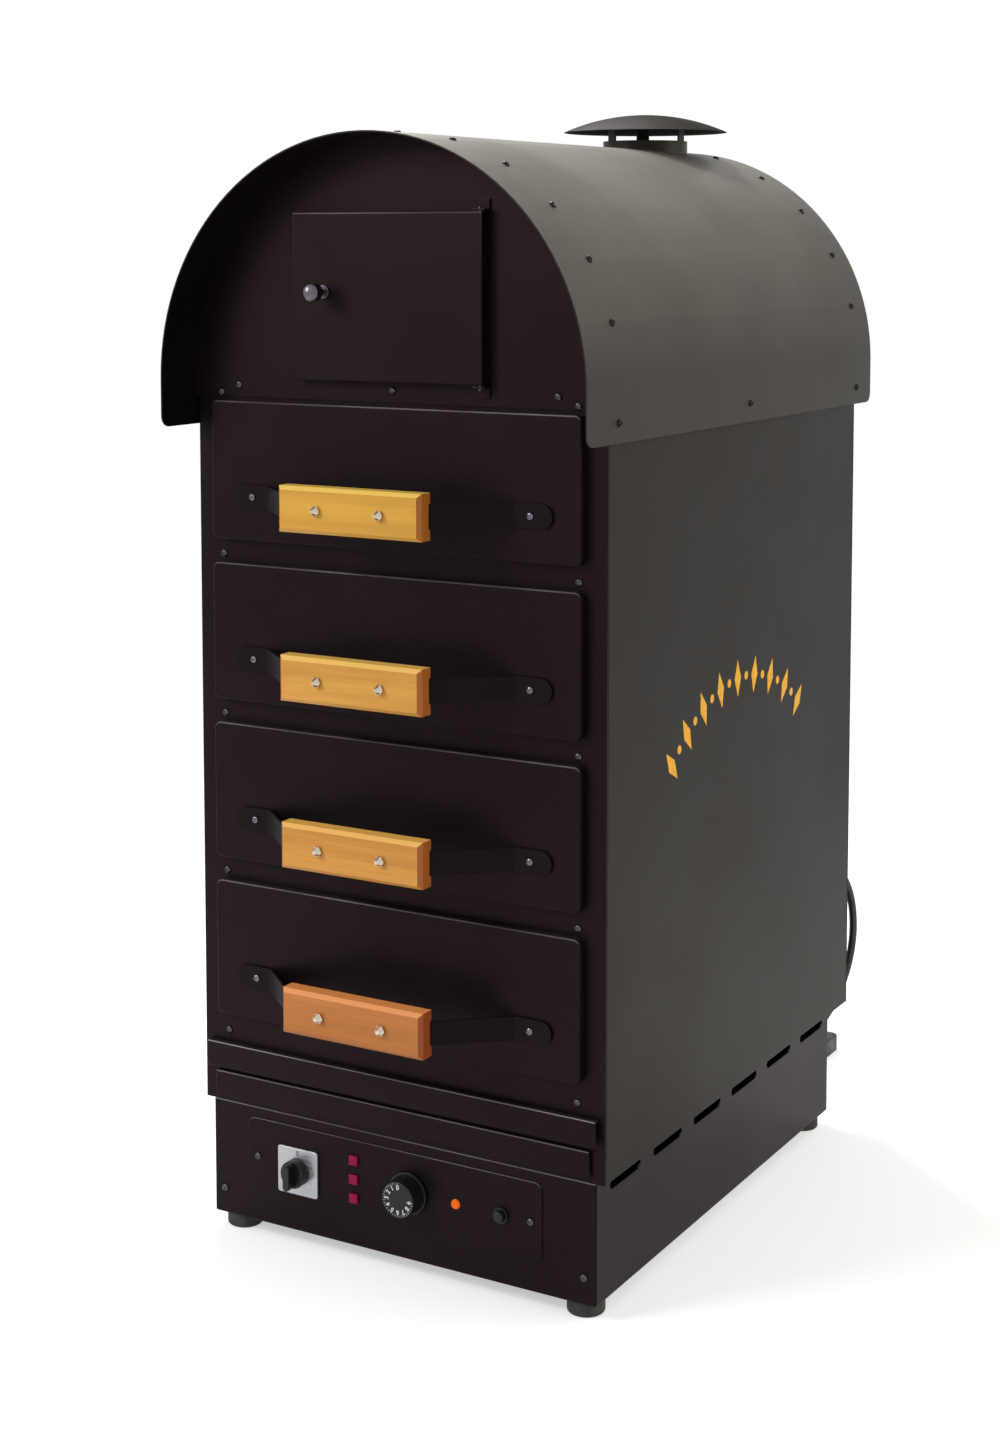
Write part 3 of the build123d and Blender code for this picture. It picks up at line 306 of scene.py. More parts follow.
def grown(name, mesh, tree, sizes):
    """Piece with the plain mesh that a node tree makes of this mesh, with some sizes of its own."""
    piece = bpy.data.objects.new(name, mesh)
    bpy.context.scene.collection.objects.link(piece)
    modifier = piece.modifiers.new(name, "NODES")
    modifier.node_group = tree
    for item in tree.interface.items_tree:
        if item.in_out == "INPUT" and item.name in sizes:
            modifier[item.identifier] = sizes[item.name]
    made = piece.evaluated_get(bpy.context.evaluated_depsgraph_get())
    piece.data = bpy.data.meshes.new_from_object(made)
    piece.modifiers.clear()
    return piece


def garland(material):
    """Node tree that lays lozenges and dots by turns along an arch, upright on the side panel."""
    tree, given = sized_tree("garland", {
        "Arch Radius": 0.268, "First Angle": math.radians(131.0), "Sweep": math.radians(-78.0),
        "Lozenge": 0.021, "Slimness": 0.40, "Dot": 0.0048, "Paint": 0.0002,
        "Panel": 0.25, "Middle": 0.0265, "Height": 0.346, "Count": 17,
    })
    arch = add(tree, "GeometryNodeCurveArc", {
        "Resolution": arch_steps, "Radius": given["Arch Radius"],
        "Start Angle": given["First Angle"], "Sweep Angle": given["Sweep"],
    }, mode="RADIUS")
    marks = {"Curve": arch, "Count": given["Count"]}
    marks = add(tree, "GeometryNodeCurveToPoints", marks, mode="COUNT")
    outward = {"Vector": add(tree, "GeometryNodeInputPosition")}
    turn = add(tree, "FunctionNodeAlignRotationToVector", outward, axis="Y", pivot_axis="Z")
    odd = calc(tree, "MODULO", add(tree, "GeometryNodeInputIndex"), 2.0)
    even = calc(tree, "SUBTRACT", 1.0, odd)
    both = tree.nodes.new("GeometryNodeJoinGeometry")
    for corners, radius, slim, chosen in (
        (lozenge_corners, given["Lozenge"], given["Slimness"], even),
        (dot_corners, given["Dot"], 1.0, odd),
    ):
        shape = {"Vertices": corners, "Radius": radius, "Depth": given["Paint"]}
        shape = add(tree, "GeometryNodeMeshCylinder", shape)
        shape = {"Geometry": shape, "Rotation": (0.0, 0.0, quarter)}
        shape = add(tree, "GeometryNodeTransform", shape)
        size = add(tree, "ShaderNodeCombineXYZ", {"X": slim, "Y": 1.0, "Z": 1.0})
        copies = add(tree, "GeometryNodeInstanceOnPoints", {
            "Points": marks, "Selection": chosen, "Instance": shape,
            "Rotation": turn, "Scale": size,
        })
        tree.links.new(copies, both.inputs[0])
    spot = {"X": given["Panel"], "Y": given["Middle"], "Z": given["Height"]}
    upright = add(tree, "GeometryNodeTransform", {
        "Geometry": both.outputs[0], "Rotation": (quarter, 0.0, quarter),
        "Translation": add(tree, "ShaderNodeCombineXYZ", spot),
    })
    return realised(tree, upright, material)


yellow_enamel = coating(
    "yellow_enamel", (0.88, 0.45, 0.008), roughness=0.45, Specular_IOR_Level=0.2
)
thin = spread(yellow_enamel, noise(yellow_enamel, scale=160.0), start=0.3, end=0.7)
thin = mixed(yellow_enamel, thin, (0.92, 0.50, 0.010), (0.74, 0.33, 0.006))
wire(yellow_enamel, "Base Color", thin)
pitted(yellow_enamel, noise(yellow_enamel, scale=700.0, detail=2.0), depth=0.00005)
panel_face = {"Panel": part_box("right_side_panel")[1].x}
ornament = grown("garland", bpy.data.meshes.new("garland"), garland(yellow_enamel), panel_face)
fitted(ornament, "cabinet", "black_steel", yellow_enamel)

# ---- Sill and lower rail ----
# Two strips of folded steel across the front, under the lowest drawer.
# Their upper folds show thin bright lines, a painted highlight, and the sill's is the strongest.
strip_fold = 0.0016
highlit_coat = powder_coat("highlit_coat", black_paint, roughness=0.40, dust_and_light=0.05, wear=1.0)
folded("sill", "sill_strip", radius=strip_fold, material=highlit_coat)
folded("rail", "lower_rail", radius=strip_fold)

# ---- Oven box ----
# Behind the drawers: a brushed stainless liner with angle runners, mineral wool round it,
# and two sheathed heating elements low down, discoloured by heat.
bronze = (0.36, 0.27, 0.16)


def brushed(name, colour, roughness, stretch):
    """Brushed sheet: fine scratches along one axis, and faint heat marks."""
    steel = coating(name, colour, roughness, metallic=1.0)
    scratch = noise(steel, scale=260.0, detail=4.0, stretch=stretch)
    wire(steel, "Roughness", spread(steel, scratch, roughness - 0.08, roughness + 0.12))
    bronzed = spread(steel, noise(steel, scale=7.0), high=0.5, start=0.45, end=0.75)
    wire(steel, "Base Color", mixed(steel, bronzed, colour, bronze))
    pitted(steel, scratch, depth=0.00004)
    return steel


oven_steel = brushed("oven_steel", (0.50, 0.49, 0.47), roughness=0.34, stretch=(1.0, 0.04, 1.0))
for node in ("inner_liner", "drawer_runners"):
    painted(node, oven_steel)
wool = coating("wool", (0.62, 0.55, 0.33), roughness=0.95, Sheen_Weight=0.4)
pitted(wool, noise(wool, scale=120.0, detail=6.0, stretch=(1.0, 0.3, 1.0)), depth=0.002)
painted("insulation", wool)
sheath = brushed("sheath", (0.16, 0.14, 0.13), roughness=0.5, stretch=(1.0, 0.1, 1.0))
finished("heaters", "heating_elements", "cabinet", "heater_sheath", sheath)

# ---- Arched panels ----
# Flat sheets that close the vault in front and behind, flanged inwards for the roof's screws.
# The front one has the doorway of the warming compartment.
for name, node in (("arch_front", "arch_front_panel"), ("arch_rear", "arch_rear_panel")):
    finished(name, node, "cabinet", "black_steel", black_coat, broken_edge, steps=2)

# ---- Roof ----
# One sheet rolled over the arch, with straight skirts down both sides and a deep front overhang.
# Its coat is lighter than the cabinet's, with dust and painted light from above towards the ridge;
# inside it keeps the cabinet's darker coat, as painted shade, and its lower corners are cut round.
# The roof's copy of the coat is lighter than the cabinet's, painted light from above, and its dust
# and painted light start low on the curve and grow towards the ridge.
roof_dust_and_light_coat = powder_coat(
    "roof_dust_and_light_coat", (0.0132, 0.0115, 0.0088), roughness=0.45, dust_and_light=0.55,
    sheen=(1.0, 0.89, 0.75), level=0.20, dust_from=0.05,
)
roof = finished("roof", "roof_sheet", "cabinet", "black_steel", roof_dust_and_light_coat, broken_edge, steps=2)
# Faces inside the vault get the cabinet's darker coat: painted shade under the roof.
roof.data.materials.append(black_coat)
for face in roof.data.polygons:
    faces_in = face.normal.x * face.center.x < -1e-6
    is_end = abs(face.normal.y) >= 0.5
    face.material_index = int(faces_in and not is_end)

# ---- Screws ----
# Cross-head screws with dome heads, of blackened zinc, hold the roof and the flat sheets.
# Each stands at the place of its solid and faces out of the sheet, turned as it was driven.
head_d, head_h = 0.008, 0.0026
head_sides, head_rings = 24, 6
driven_seed = 7
solid_gap = 1e-5  # corners nearer than this belong to one solid
screw_zinc = coating("screw_zinc", (0.085, 0.082, 0.088), roughness=0.3, metallic=1.0)
wire(screw_zinc, "Roughness", spread(screw_zinc, noise(screw_zinc, scale=1500.0), 0.2, 0.42))
roof_zinc = coating("roof_zinc", (0.022, 0.021, 0.020), roughness=0.36, metallic=1.0)
wire(roof_zinc, "Roughness", spread(roof_zinc, noise(roof_zinc, scale=1500.0), 0.3, 0.45))


def facing_out(tree):
    """Turn that stands a piece's own Z along the facing of its point."""
    facing = {"Name": "facing"}
    facing = add(tree, "GeometryNodeInputNamedAttribute", facing, data_type="FLOAT_VECTOR")
    return add(tree, "FunctionNodeAlignRotationToVector", {"Vector": facing}, axis="Z")


def screw_heads(material):
    """Node tree that sets a cross-head screw on each point, square to its facing."""
    tree, given = sized_tree("screw_heads", {
        "Diameter": head_d, "Height": head_h, "Recess": 0.0010,
        "Rim": 0.3, "Arm Width": 0.2, "Arm Reach": 0.6,
    })
    radius = product(tree, given["Diameter"], 0.5)
    head = add(tree, "GeometryNodeMeshCone", {
        "Vertices": head_sides, "Side Segments": 1, "Fill Segments": head_rings,
        "Radius Top": radius, "Radius Bottom": radius, "Depth": given["Height"],
    })
    x, y, z = parts_of(tree, add(tree, "GeometryNodeInputPosition"))
    out = calc(tree, "SQRT", calc(tree, "ADD", product(tree, x, x), product(tree, y, y)))
    share = calc(tree, "DIVIDE", out, radius)
    fall = calc(tree, "SUBTRACT", 1.0, product(tree, share, share))
    crown = calc(tree, "SQRT", calc(tree, "MAXIMUM", fall, 0.0))
    crown = product(tree, calc(tree, "SUBTRACT", 1.0, given["Rim"]), crown)
    dome = calc(tree, "ADD", given["Rim"], crown)
    beside = calc(tree, "MINIMUM", calc(tree, "ABSOLUTE", x), calc(tree, "ABSOLUTE", y))
    in_arm = calc(tree, "LESS_THAN", beside, product(tree, radius, given["Arm Width"]))
    in_reach = calc(tree, "LESS_THAN", share, given["Arm Reach"])
    sunk = product(tree, in_arm, in_reach, given["Recess"])
    on_top = calc(tree, "GREATER_THAN", z, product(tree, given["Height"], 0.5))
    height = calc(tree, "SUBTRACT", product(tree, dome, given["Height"]), sunk)
    domed = {"X": x, "Y": y, "Z": product(tree, height, on_top)}
    domed = {"Geometry": head, "Position": add(tree, "ShaderNodeCombineXYZ", domed)}
    head = add(tree, "GeometryNodeSetPosition", domed)
    driven = {"Max": quarter, "Seed": driven_seed}
    driven = {"Axis": (0, 0, 1), "Angle": add(tree, "FunctionNodeRandomValue", driven, output=1)}
    driven = {0: facing_out(tree), 1: add(tree, "FunctionNodeAxisAngleToRotation", driven)}
    turn = add(tree, "FunctionNodeRotateRotation", driven, rotation_space="LOCAL")
    screws = {"Points": given["Geometry"], "Instance": head, "Rotation": turn}
    return realised(tree, add(tree, "GeometryNodeInstanceOnPoints", screws), material)


def solids_of(node):
    """Lowest and highest corner of each separate solid of a node."""
    work = bmesh.new()
    work.from_mesh(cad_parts[node].data)
    bmesh.ops.remove_doubles(work, verts=work.verts, dist=solid_gap)
    left = set(work.verts)
    boxes = []
    while left:
        queue = [left.pop()]
        low, high = queue[0].co.copy(), queue[0].co.copy()
        while queue:
            vert = queue.pop()
            low, high = Vector(map(min, low, vert.co)), Vector(map(max, high, vert.co))
            for edge in vert.link_edges:
                other = edge.other_vert(vert)
                if other in left:
                    left.remove(other)
                    queue.append(other)
        boxes.append((low, high))
    work.free()
    return sorted(boxes, key=lambda box: tuple(box[0]))


def on_points(name, spots, tree, sizes):
    """Piece made of what a node tree sets on these (place, facing) spots."""
    mesh = bpy.data.meshes.new(name)
    mesh.from_pydata([place for place, facing in spots], [], [])
    facings = mesh.attributes.new("facing", "FLOAT_VECTOR", "POINT")
    facings.data.foreach_set("vector", [part for place, facing in spots for part in facing])
    piece = grown(name, mesh, tree, sizes)
    piece.data.shade_smooth()
    piece.data.set_sharp_from_angle(angle=crease)
    return piece


deck_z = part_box("compartment_floor")[0].z
roof_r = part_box("roof_sheet")[1].x
roof_spots = []
for low, high in solids_of("roof_screws"):
    middle = (low + high) / 2
    facing = Vector((middle.x, 0.0, max(middle.z - deck_z, 0.0))).normalized()
    height = deck_z + facing.z * roof_r if facing.z else middle.z
    roof_spots.append((Vector((facing.x * roof_r, middle.y, height)), facing))
head_sizes = {"Height": head_h}
roof_screws = on_points("roof_screw_heads", roof_spots, screw_heads(roof_zinc), head_sizes)
fitted(roof_screws, "cabinet", "dark_screw", roof_zinc, "roof_screws")

sheet_spots = []
for low, high in solids_of("panel_screws"):
    middle = (low + high) / 2
    in_front = middle.y < 0
    sheet_y = low.y + head_h if in_front else high.y - head_h
    facing = Vector((0.0, -1.0 if in_front else 1.0, 0.0))
    sheet_spots.append((Vector((middle.x, sheet_y, middle.z)), facing))
sheet_screws = on_points("sheet_screw_heads", sheet_spots, screw_heads(screw_zinc), head_sizes)
fitted(sheet_screws, "cabinet", "dark_screw", screw_zinc, "panel_screws")

# ---- Flue ----
# A short steel pipe through the roof carries a shallow spun cap on three flat legs.
# The pipe and the legs have the roof's coat, and the cap, whose rim is rolled, has a duller one.
leg_edge = 0.0005
cap_coat = powder_coat(
    "cap_coat", (0.0110, 0.0100, 0.0080), roughness=0.75, dust_and_light=0.06,
    sheen=(1.0, 0.93, 0.80), level=0.03,
)
finished("flue", "flue_pipe", "cabinet", "flue_steel", roof_dust_and_light_coat, broken_edge, steps=2)
finished("cap", "flue_cap", "cabinet", "flue_steel", cap_coat, broken_edge, steps=2)
finished("cap_legs", "flue_legs", "cabinet", "flue_steel", roof_dust_and_light_coat, leg_edge)

# ---- Compartment door ----
# A shallow folded pan hung on two corner pivots at its right, with a turned metal knob at its left.
# The brackets are bent steel, and the pivots are plain pins.
knob_edge, pin_edge, bracket_edge = 0.0006, 0.0003, 0.0005
pewter = coating("pewter", (0.13, 0.115, 0.135), roughness=0.30, metallic=1.0)
turned = noise(pewter, scale=320.0, stretch=(1.0, 0.1, 1.0))
wire(pewter, "Roughness", spread(pewter, turned, 0.24, 0.38))


def pan_rim(low, high, box, reach=0.0005, border=0.014):
    """True for an edge round the front face of a folded pan, its corners too."""
    near = any(
        high[axis] < box[0][axis] + border or low[axis] > box[1][axis] - border for axis in (0, 2)
    )
    return near and high.y < box[0].y + reach


folded("door_pan", "arch_door", "door", test=pan_rim)
finished("knob", "door_knob", "door", "chrome", pewter, knob_edge)
finished("pivots", "door_pivots", "door", "dark_screw", screw_zinc, pin_edge)
finished("brackets", "pivot_brackets", "cabinet", "black_steel", black_coat, bracket_edge)

# ---- Drawers ----
# Each is a steel tray behind a folded front, pulled by a hardwood bar on a bent black strap.
# Two studs with bright coned nuts hold the bar, and two dome-head screws hold the strap.
bar_edge, strap_edge = 0.0007, 0.0006
nut_len = 0.008
nut_sides, cone_sides = 6, 48
band_share = 0.75  # the broad bands' share in the grain, which the pores have the rest of


def varnished(name, light, dark):
    """Varnished hardwood: grain along X, with a painted highlight on top, darker at the ends."""
    wood = coating(
        name, light, roughness=0.42, Specular_IOR_Level=0.3, Coat_Weight=0.15, Coat_Roughness=0.25
    )
    tree = wood.node_tree
    bands = noise(wood, scale=55.0, detail=4.0, stretch=(0.06, 1.0, 1.0))
    pores = noise(wood, scale=420.0, detail=2.0, stretch=(0.035, 1.0, 1.0))
    grain = product(tree, pores, 1.0 - band_share)
    grain = calc(tree, "ADD", product(tree, bands, band_share), grain)
    face = mixed(wood, spread(wood, grain), light, dark)
    facing = parts_of(tree, add(tree, "ShaderNodeTexCoord", output="Normal"))
    # painted highlight: faces that turn up are lighter, as if lit from above
    top_highlight = [min(1.0, 1.45 * part + 0.03) for part in light]
    face = mixed(wood, spread(wood, facing["Z"], high=0.8, start=0.2, end=0.7), face, top_highlight)
    end_grain = (0.58 * light[0], 0.34 * light[1], 0.30 * light[2])
    at_end = spread(wood, calc(tree, "ABSOLUTE", facing["X"]), start=0.2, end=0.65)
    wire(wood, "Base Color", mixed(wood, at_end, face, end_grain))
    pitted(wood, pores, depth=0.00012)
    return wood


def coned_studs(material):
    """Node tree that sets a stud on each point of the bar's face, its coned nut facing out."""
    tree, given = sized_tree("coned_studs", {
        "Across Flats": 0.010, "Collar": 0.003, "Nut": nut_len, "Tip": 0.0038,
        "Shank": 0.006, "Buried": 0.022, "Head": head_d, "Head Height": head_h,
    })
    corner = calc(tree, "DIVIDE", given["Across Flats"], 2.0 * math.cos(math.pi / nut_sides))
    nut_r, tip_r, shank_r, head_r = (
        product(tree, given[label], 0.5) for label in ("Across Flats", "Tip", "Shank", "Head")
    )
    cone = calc(tree, "SUBTRACT", given["Nut"], given["Collar"])
    shank = calc(tree, "SUBTRACT", given["Buried"], given["Head Height"])
    shank_start, head_start = product(tree, shank, -1.0), product(tree, given["Buried"], -1.0)
    stud = tree.nodes.new("GeometryNodeJoinGeometry")
    for sides, foot_r, top_r, length, start in (
        (nut_sides, corner, corner, given["Collar"], 0.0),
        (cone_sides, nut_r, tip_r, cone, given["Collar"]),
        (head_sides, shank_r, shank_r, shank, shank_start),
        (head_sides, head_r, head_r, given["Head Height"], head_start),
    ):
        turned = add(tree, "GeometryNodeMeshCone", {
            "Vertices": sides, "Side Segments": 1,
            "Radius Top": top_r, "Radius Bottom": foot_r, "Depth": length,
        })
        lifted = add(tree, "ShaderNodeCombineXYZ", {"Z": start})
        turned = add(tree, "GeometryNodeTransform", {"Geometry": turned, "Translation": lifted})
        tree.links.new(turned, stud.inputs[0])
    studs = {
        "Points": given["Geometry"], "Instance": stud.outputs[0], "Rotation": facing_out(tree),
    }
    return realised(tree, add(tree, "GeometryNodeInstanceOnPoints", studs), material)


strap_paint = coating(
    "strap_paint", (0.0042, 0.0030, 0.0038), roughness=0.42,
    Specular_IOR_Level=0.105, Specular_Tint=(1.0, 0.66, 0.80, 1.0),
)
wire(strap_paint, "Roughness", spread(strap_paint, noise(strap_paint, scale=40.0), 0.38, 0.48))
pitted(strap_paint, noise(strap_paint, scale=650.0, detail=2.0), depth=0.00004)
# The nuts' nickel is darkened and warmed: a painted reflection of the amber bars.
nickel_and_wood_reflection = coating("nickel_and_wood_reflection", (0.56, 0.49, 0.40), roughness=0.1, metallic=1.0)
wire(nickel_and_wood_reflection, "Roughness", spread(nickel_and_wood_reflection, noise(nickel_and_wood_reflection, scale=700.0), 0.06, 0.16))
strap_zinc = coating("strap_zinc", (0.17, 0.16, 0.19), roughness=0.25, metallic=1.0)
wire(strap_zinc, "Roughness", spread(strap_zinc, noise(strap_zinc, scale=1500.0), 0.12, 0.3))
tray_steel = brushed("tray_steel", (0.42, 0.41, 0.40), roughness=0.36, stretch=(1.0, 0.05, 1.0))
studs_tree = coned_studs(nickel_and_wood_reflection)
strap_screws_tree = screw_heads(strap_zinc)
outwards = Vector((0.0, -1.0, 0.0))
wood_tones = (  # the light and the dark of each bar's grain, from the top drawer down
    ((0.80, 0.43, 0.060), (0.66, 0.33, 0.040)),
    ((0.80, 0.40, 0.070), (0.62, 0.28, 0.040)),
    ((0.78, 0.36, 0.065), (0.58, 0.24, 0.035)),
    ((0.62, 0.22, 0.045), (0.46, 0.14, 0.022)),
)
for number, (light, dark) in enumerate(wood_tones, 1):
    body = f"drawer_{number}"
    folded(f"{body}_pan", f"{body}_front", body, test=pan_rim)
    painted(f"{body}_tray", tray_steel)
    hardwood = varnished(f"hardwood_{number}", light, dark)
    finished(f"{body}_bar", f"{body}_grip", body, "amber_wood", hardwood, bar_edge)
    finished(f"{body}_bracket", f"{body}_strap", body, "black_strap", strap_paint, strap_edge)
    bar_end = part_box(f"{body}_grip")[1].x
    studs, strap_screws = [], []
    for low, high in solids_of(f"{body}_fasteners"):
        middle = (low + high) / 2
        if abs(middle.x) < bar_end:
            studs.append((Vector((middle.x, low.y + nut_len, middle.z)), outwards))
            buried = high.y - low.y - nut_len
        else:
            strap_screws.append((Vector((middle.x, low.y + head_h, middle.z)), outwards))
    stud_sizes = {"Nut": nut_len, "Buried": buried, "Head Height": head_h}
    nuts = on_points(f"{body}_nuts", studs, studs_tree, stud_sizes)
    fitted(nuts, body, "chrome", nickel_and_wood_reflection, f"{body}_fasteners")
    screws = on_points(f"{body}_strap_screws", strap_screws, strap_screws_tree, head_sizes)
    fitted(screws, body, "chrome", strap_zinc)

# ---- Control panel ----
# A black plate on the plinth's front carries the isolator switch, three red lamps, the thermostat's
# dial, an amber lamp and the reset button in its bush.
plate_fold = 0.0010
plate_border = 0.005
satin_silver = coating("satin_silver", (0.40, 0.41, 0.43), roughness=0.38, metallic=0.85)
grained = noise(satin_silver, scale=400.0, stretch=(0.05, 1.0, 1.0))
wire(satin_silver, "Roughness", spread(satin_silver, grained, 0.3, 0.48))
moulding = coating("moulding", (0.008, 0.008, 0.009), roughness=0.38, Specular_IOR_Level=0.3)
pitted(moulding, noise(moulding, scale=1400.0, detail=2.0), depth=0.00004)
red_lens = coating(
    "red_lens", (0.07, 0.001, 0.012), roughness=0.35, Specular_IOR_Level=0.15,
    Emission_Color=(0.17, 0.0, 0.024, 1.0), Emission_Strength=1.0,
)
pitted(red_lens, noise(red_lens, scale=1800.0, detail=1.0), depth=0.00006)
amber_lens = coating(
    "amber_lens", (0.50, 0.09, 0.005), roughness=0.35, Specular_IOR_Level=0.2,
    Emission_Color=(0.60, 0.10, 0.003, 1.0), Emission_Strength=0.7,
)
pitted(amber_lens, noise(amber_lens, scale=1500.0, detail=1.0), depth=0.00006)


def plate_rim(low, high, box):
    """True for an edge round the front face of the plate, but not round its screw holes."""
    return pan_rim(low, high, box, border=plate_border)


folded("panel_plate", "control_plate", radius=plate_fold, test=plate_rim)
for name, node, body, slot, material, edge in (
    ("isolator_plate", "isolator_switch", "cabinet", "silver_plate", satin_silver, 0.0006),
    ("isolator_handle", "isolator_knob", "isolator_rotor", "black_plastic", moulding, 0.0009),
    ("dial_knob", "thermostat_dial", "thermostat_rotor", "black_plastic", moulding, 0.0008),
    ("red_lenses", "red_lamps", "cabinet", "red_lens", red_lens, 0.0005),
    ("amber_dome", "amber_lamp", "cabinet", "amber_lens", amber_lens, 0.0012),
    ("bush", "button_bush", "cabinet", "black_plastic", moulding, 0.0005),
    ("button", "reset_button", "reset_plunger", "black_plastic", moulding, 0.0),
):
    finished(name, node, body, slot, material, edge)
for node in ("thermostat_body", "terminal_block"):
    painted(node, moulding)

# ---- Print on the controls ----
# Plain silver numbers and fine ticks on the face of the dial, from 0 at its top round to 9,
# and a plain 0 and 1 beside the isolator's knob. The print stands a hair above the face.
print_t = 0.00012
print_gap = 1e-7  # doubled corners of a figure's outline lie nearer than this
fattened = 0.02  # share of its height by which a figure's strokes are widened
number_h, number_r = 0.0072, 0.0134
tick_h, tick_r = 0.0026, 0.0175
number_step, numbers = math.radians(30.0), 10
tick_step, ticks = math.radians(10.0), 28
switch_mark_r = 0.0205
silver_print = coating("silver_print", (0.62, 0.62, 0.64), roughness=0.5)
rubbed_off = spread(silver_print, noise(silver_print, scale=900.0))
rubbed_off = mixed(silver_print, rubbed_off, (0.66, 0.66, 0.68), (0.95, 0.95, 0.97))
wire(silver_print, "Base Color", rubbed_off)
grey_print = coating("grey_print", (0.05, 0.05, 0.055), roughness=0.5)
wire(grey_print, "Roughness", spread(grey_print, noise(grey_print, scale=900.0), 0.4, 0.6))


def printed(name, marks, material, body, slot):
    """Piece made of marks, each (text, height, middle, turn), printed on faces that look to -Y."""
    mesh = bpy.data.meshes.new(name)
    work = bmesh.new()
    for text, height, middle, turn in marks:
        figure = bpy.data.curves.new(name, "FONT")
        figure.body, figure.size, figure.extrude = text, height, print_t / 2
        figure.align_x, figure.align_y = "CENTER", "CENTER"
        figure.offset = height * fattened
        holder = bpy.data.objects.new(name, figure)
        bpy.context.scene.collection.objects.link(holder)
        made = holder.evaluated_get(bpy.context.evaluated_depsgraph_get())
        flat = bpy.data.meshes.new_from_object(made)
        flat.transform(Matrix.Rotation(quarter, 4, "X"))
        flat.transform(Matrix.Translation(middle) @ Matrix.Rotation(-turn, 4, "Y"))
        work.from_mesh(flat)
        bpy.data.objects.remove(holder)
        bpy.data.curves.remove(figure)
        bpy.data.meshes.remove(flat)
    bmesh.ops.remove_doubles(work, verts=work.verts, dist=print_gap)
    work.to_mesh(mesh)
    work.free()
    piece = bpy.data.objects.new(name, mesh)
    bpy.context.scene.collection.objects.link(piece)
    return fitted(piece, body, slot, material)


def face_middle(node):
    """Middle of the front of a node's box."""
    low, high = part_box(node)
    return Vector(((low.x + high.x) / 2, low.y, (low.z + high.z) / 2))


def ring_mark(text, height, radius, turn):
    """A mark of the dial, upright at its top, or turned from there by that much anticlockwise."""
    angle = quarter + turn
    out = Vector((math.cos(angle), 0.0, math.sin(angle)))
    return text, height, face_middle("thermostat_dial") + radius * out, turn


dial_marks = [ring_mark(str(n), number_h, number_r, n * number_step) for n in range(numbers)]
dial_marks += [ring_mark("|", tick_h, tick_r, n * tick_step) for n in range(ticks)]
printed("dial_print", dial_marks, silver_print, "thermostat_rotor", "silver_plate")
switch_marks = [
    ("0", number_h, face_middle("isolator_switch") + Vector((0.0, 0.0, switch_mark_r)), 0.0),
    ("1", number_h, face_middle("isolator_switch") + Vector((switch_mark_r, 0.0, 0.0)), 0.0),
]
printed("switch_print", switch_marks, grey_print, "cabinet", "silver_plate")

# ---- Mains lead ----
# A black rubber-sheathed lead hangs in a loop from its gland on the back panel, down to the floor.
# The length that isn't shown lies in a neat two-layer coil behind the oven, and ends in its plug.
lead_rubber = coating("lead_rubber", (0.012, 0.012, 0.012), roughness=0.48)
skin = noise(lead_rubber, scale=80.0, detail=4.0)
wire(lead_rubber, "Roughness", spread(lead_rubber, skin, 0.4, 0.62))
pitted(lead_rubber, noise(lead_rubber, scale=1200.0, detail=2.0), depth=0.00006)
gland_edge, plug_edge = 0.0005, 0.0006
lead_d = 0.010
gland_low, gland_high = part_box("cord_gland")
gland_x, gland_z = (gland_low.x + gland_high.x) / 2, (gland_low.z + gland_high.z) / 2
back_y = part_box("back_panel")[1].y
coil_x, coil_y = 0.020, back_y + 0.126
upper_z, lower_z = 0.01565, 0.00505
coil_r = 0.0656
coil_pitch = 0.0106
half_turns = 4  # in each layer, besides the one in which the lead comes down to the lower layer
points_a_half = 12
route = [
    (gland_x, gland_high.y, gland_z),
    (gland_x, back_y + 0.056, gland_z),
    (gland_x + 0.006, back_y + 0.080, gland_z - 0.013),
    (gland_x + 0.014, back_y + 0.095, gland_z - 0.037),
    (gland_x + 0.020, back_y + 0.098, gland_z - 0.070),
    (gland_x + 0.022, back_y + 0.093, gland_z - 0.108),
    (gland_x + 0.017, back_y + 0.082, gland_z - 0.150),
    (gland_x + 0.003, back_y + 0.071, gland_z - 0.192),
    (gland_x - 0.021, back_y + 0.064, gland_z - 0.230),
    (gland_x - 0.055, back_y + 0.061, gland_z - 0.258),
    (gland_x - 0.093, coil_y - coil_r, upper_z + 0.004),
    (coil_x + 0.040, coil_y - coil_r, upper_z),
    (coil_x + 0.010, coil_y - coil_r, upper_z),
]
point = Vector((coil_x, coil_y - coil_r, upper_z))
side = -1
radius = coil_r
outward = 1 / math.cos(quarter / points_a_half)  # so that the smooth line is as wide as its coil
for half in range(2 * half_turns + 1):
    drop = lower_z - upper_z if half == half_turns else 0.0
    centre = point + Vector((0.0, -side * radius, 0.0))
    for step in range(points_a_half):
        share = (step + 0.5) / points_a_half
        turn = math.pi * share
        reach = radius * outward
        sweep = Vector((side * math.sin(turn), side * math.cos(turn), 0.0)) * reach
        route.append(tuple(centre + sweep + Vector((0.0, 0.0, drop * share))))
    point = centre + Vector((0.0, -side * radius, drop))
    side = -side
    radius += coil_pitch / 2 * (-1 if half < half_turns else 1)
route += [
    (point.x + 0.010, point.y, point.z),
    (point.x + 0.030, point.y, point.z),
    (point.x + 0.051, point.y + 0.006, point.z),
    (point.x + 0.071, point.y + 0.006, point.z),
]
curve = bpy.data.curves.new("lead", "CURVE")
curve.dimensions = "3D"
curve.bevel_depth = lead_d / 2
curve.bevel_resolution = 5
curve.resolution_u = 6
curve.use_fill_caps = True
spline = curve.splines.new("NURBS")
spline.points.add(len(route) - 1)
for spot, place in zip(spline.points, route):
    spot.co = (*place, 1.0)
spline.order_u = 3
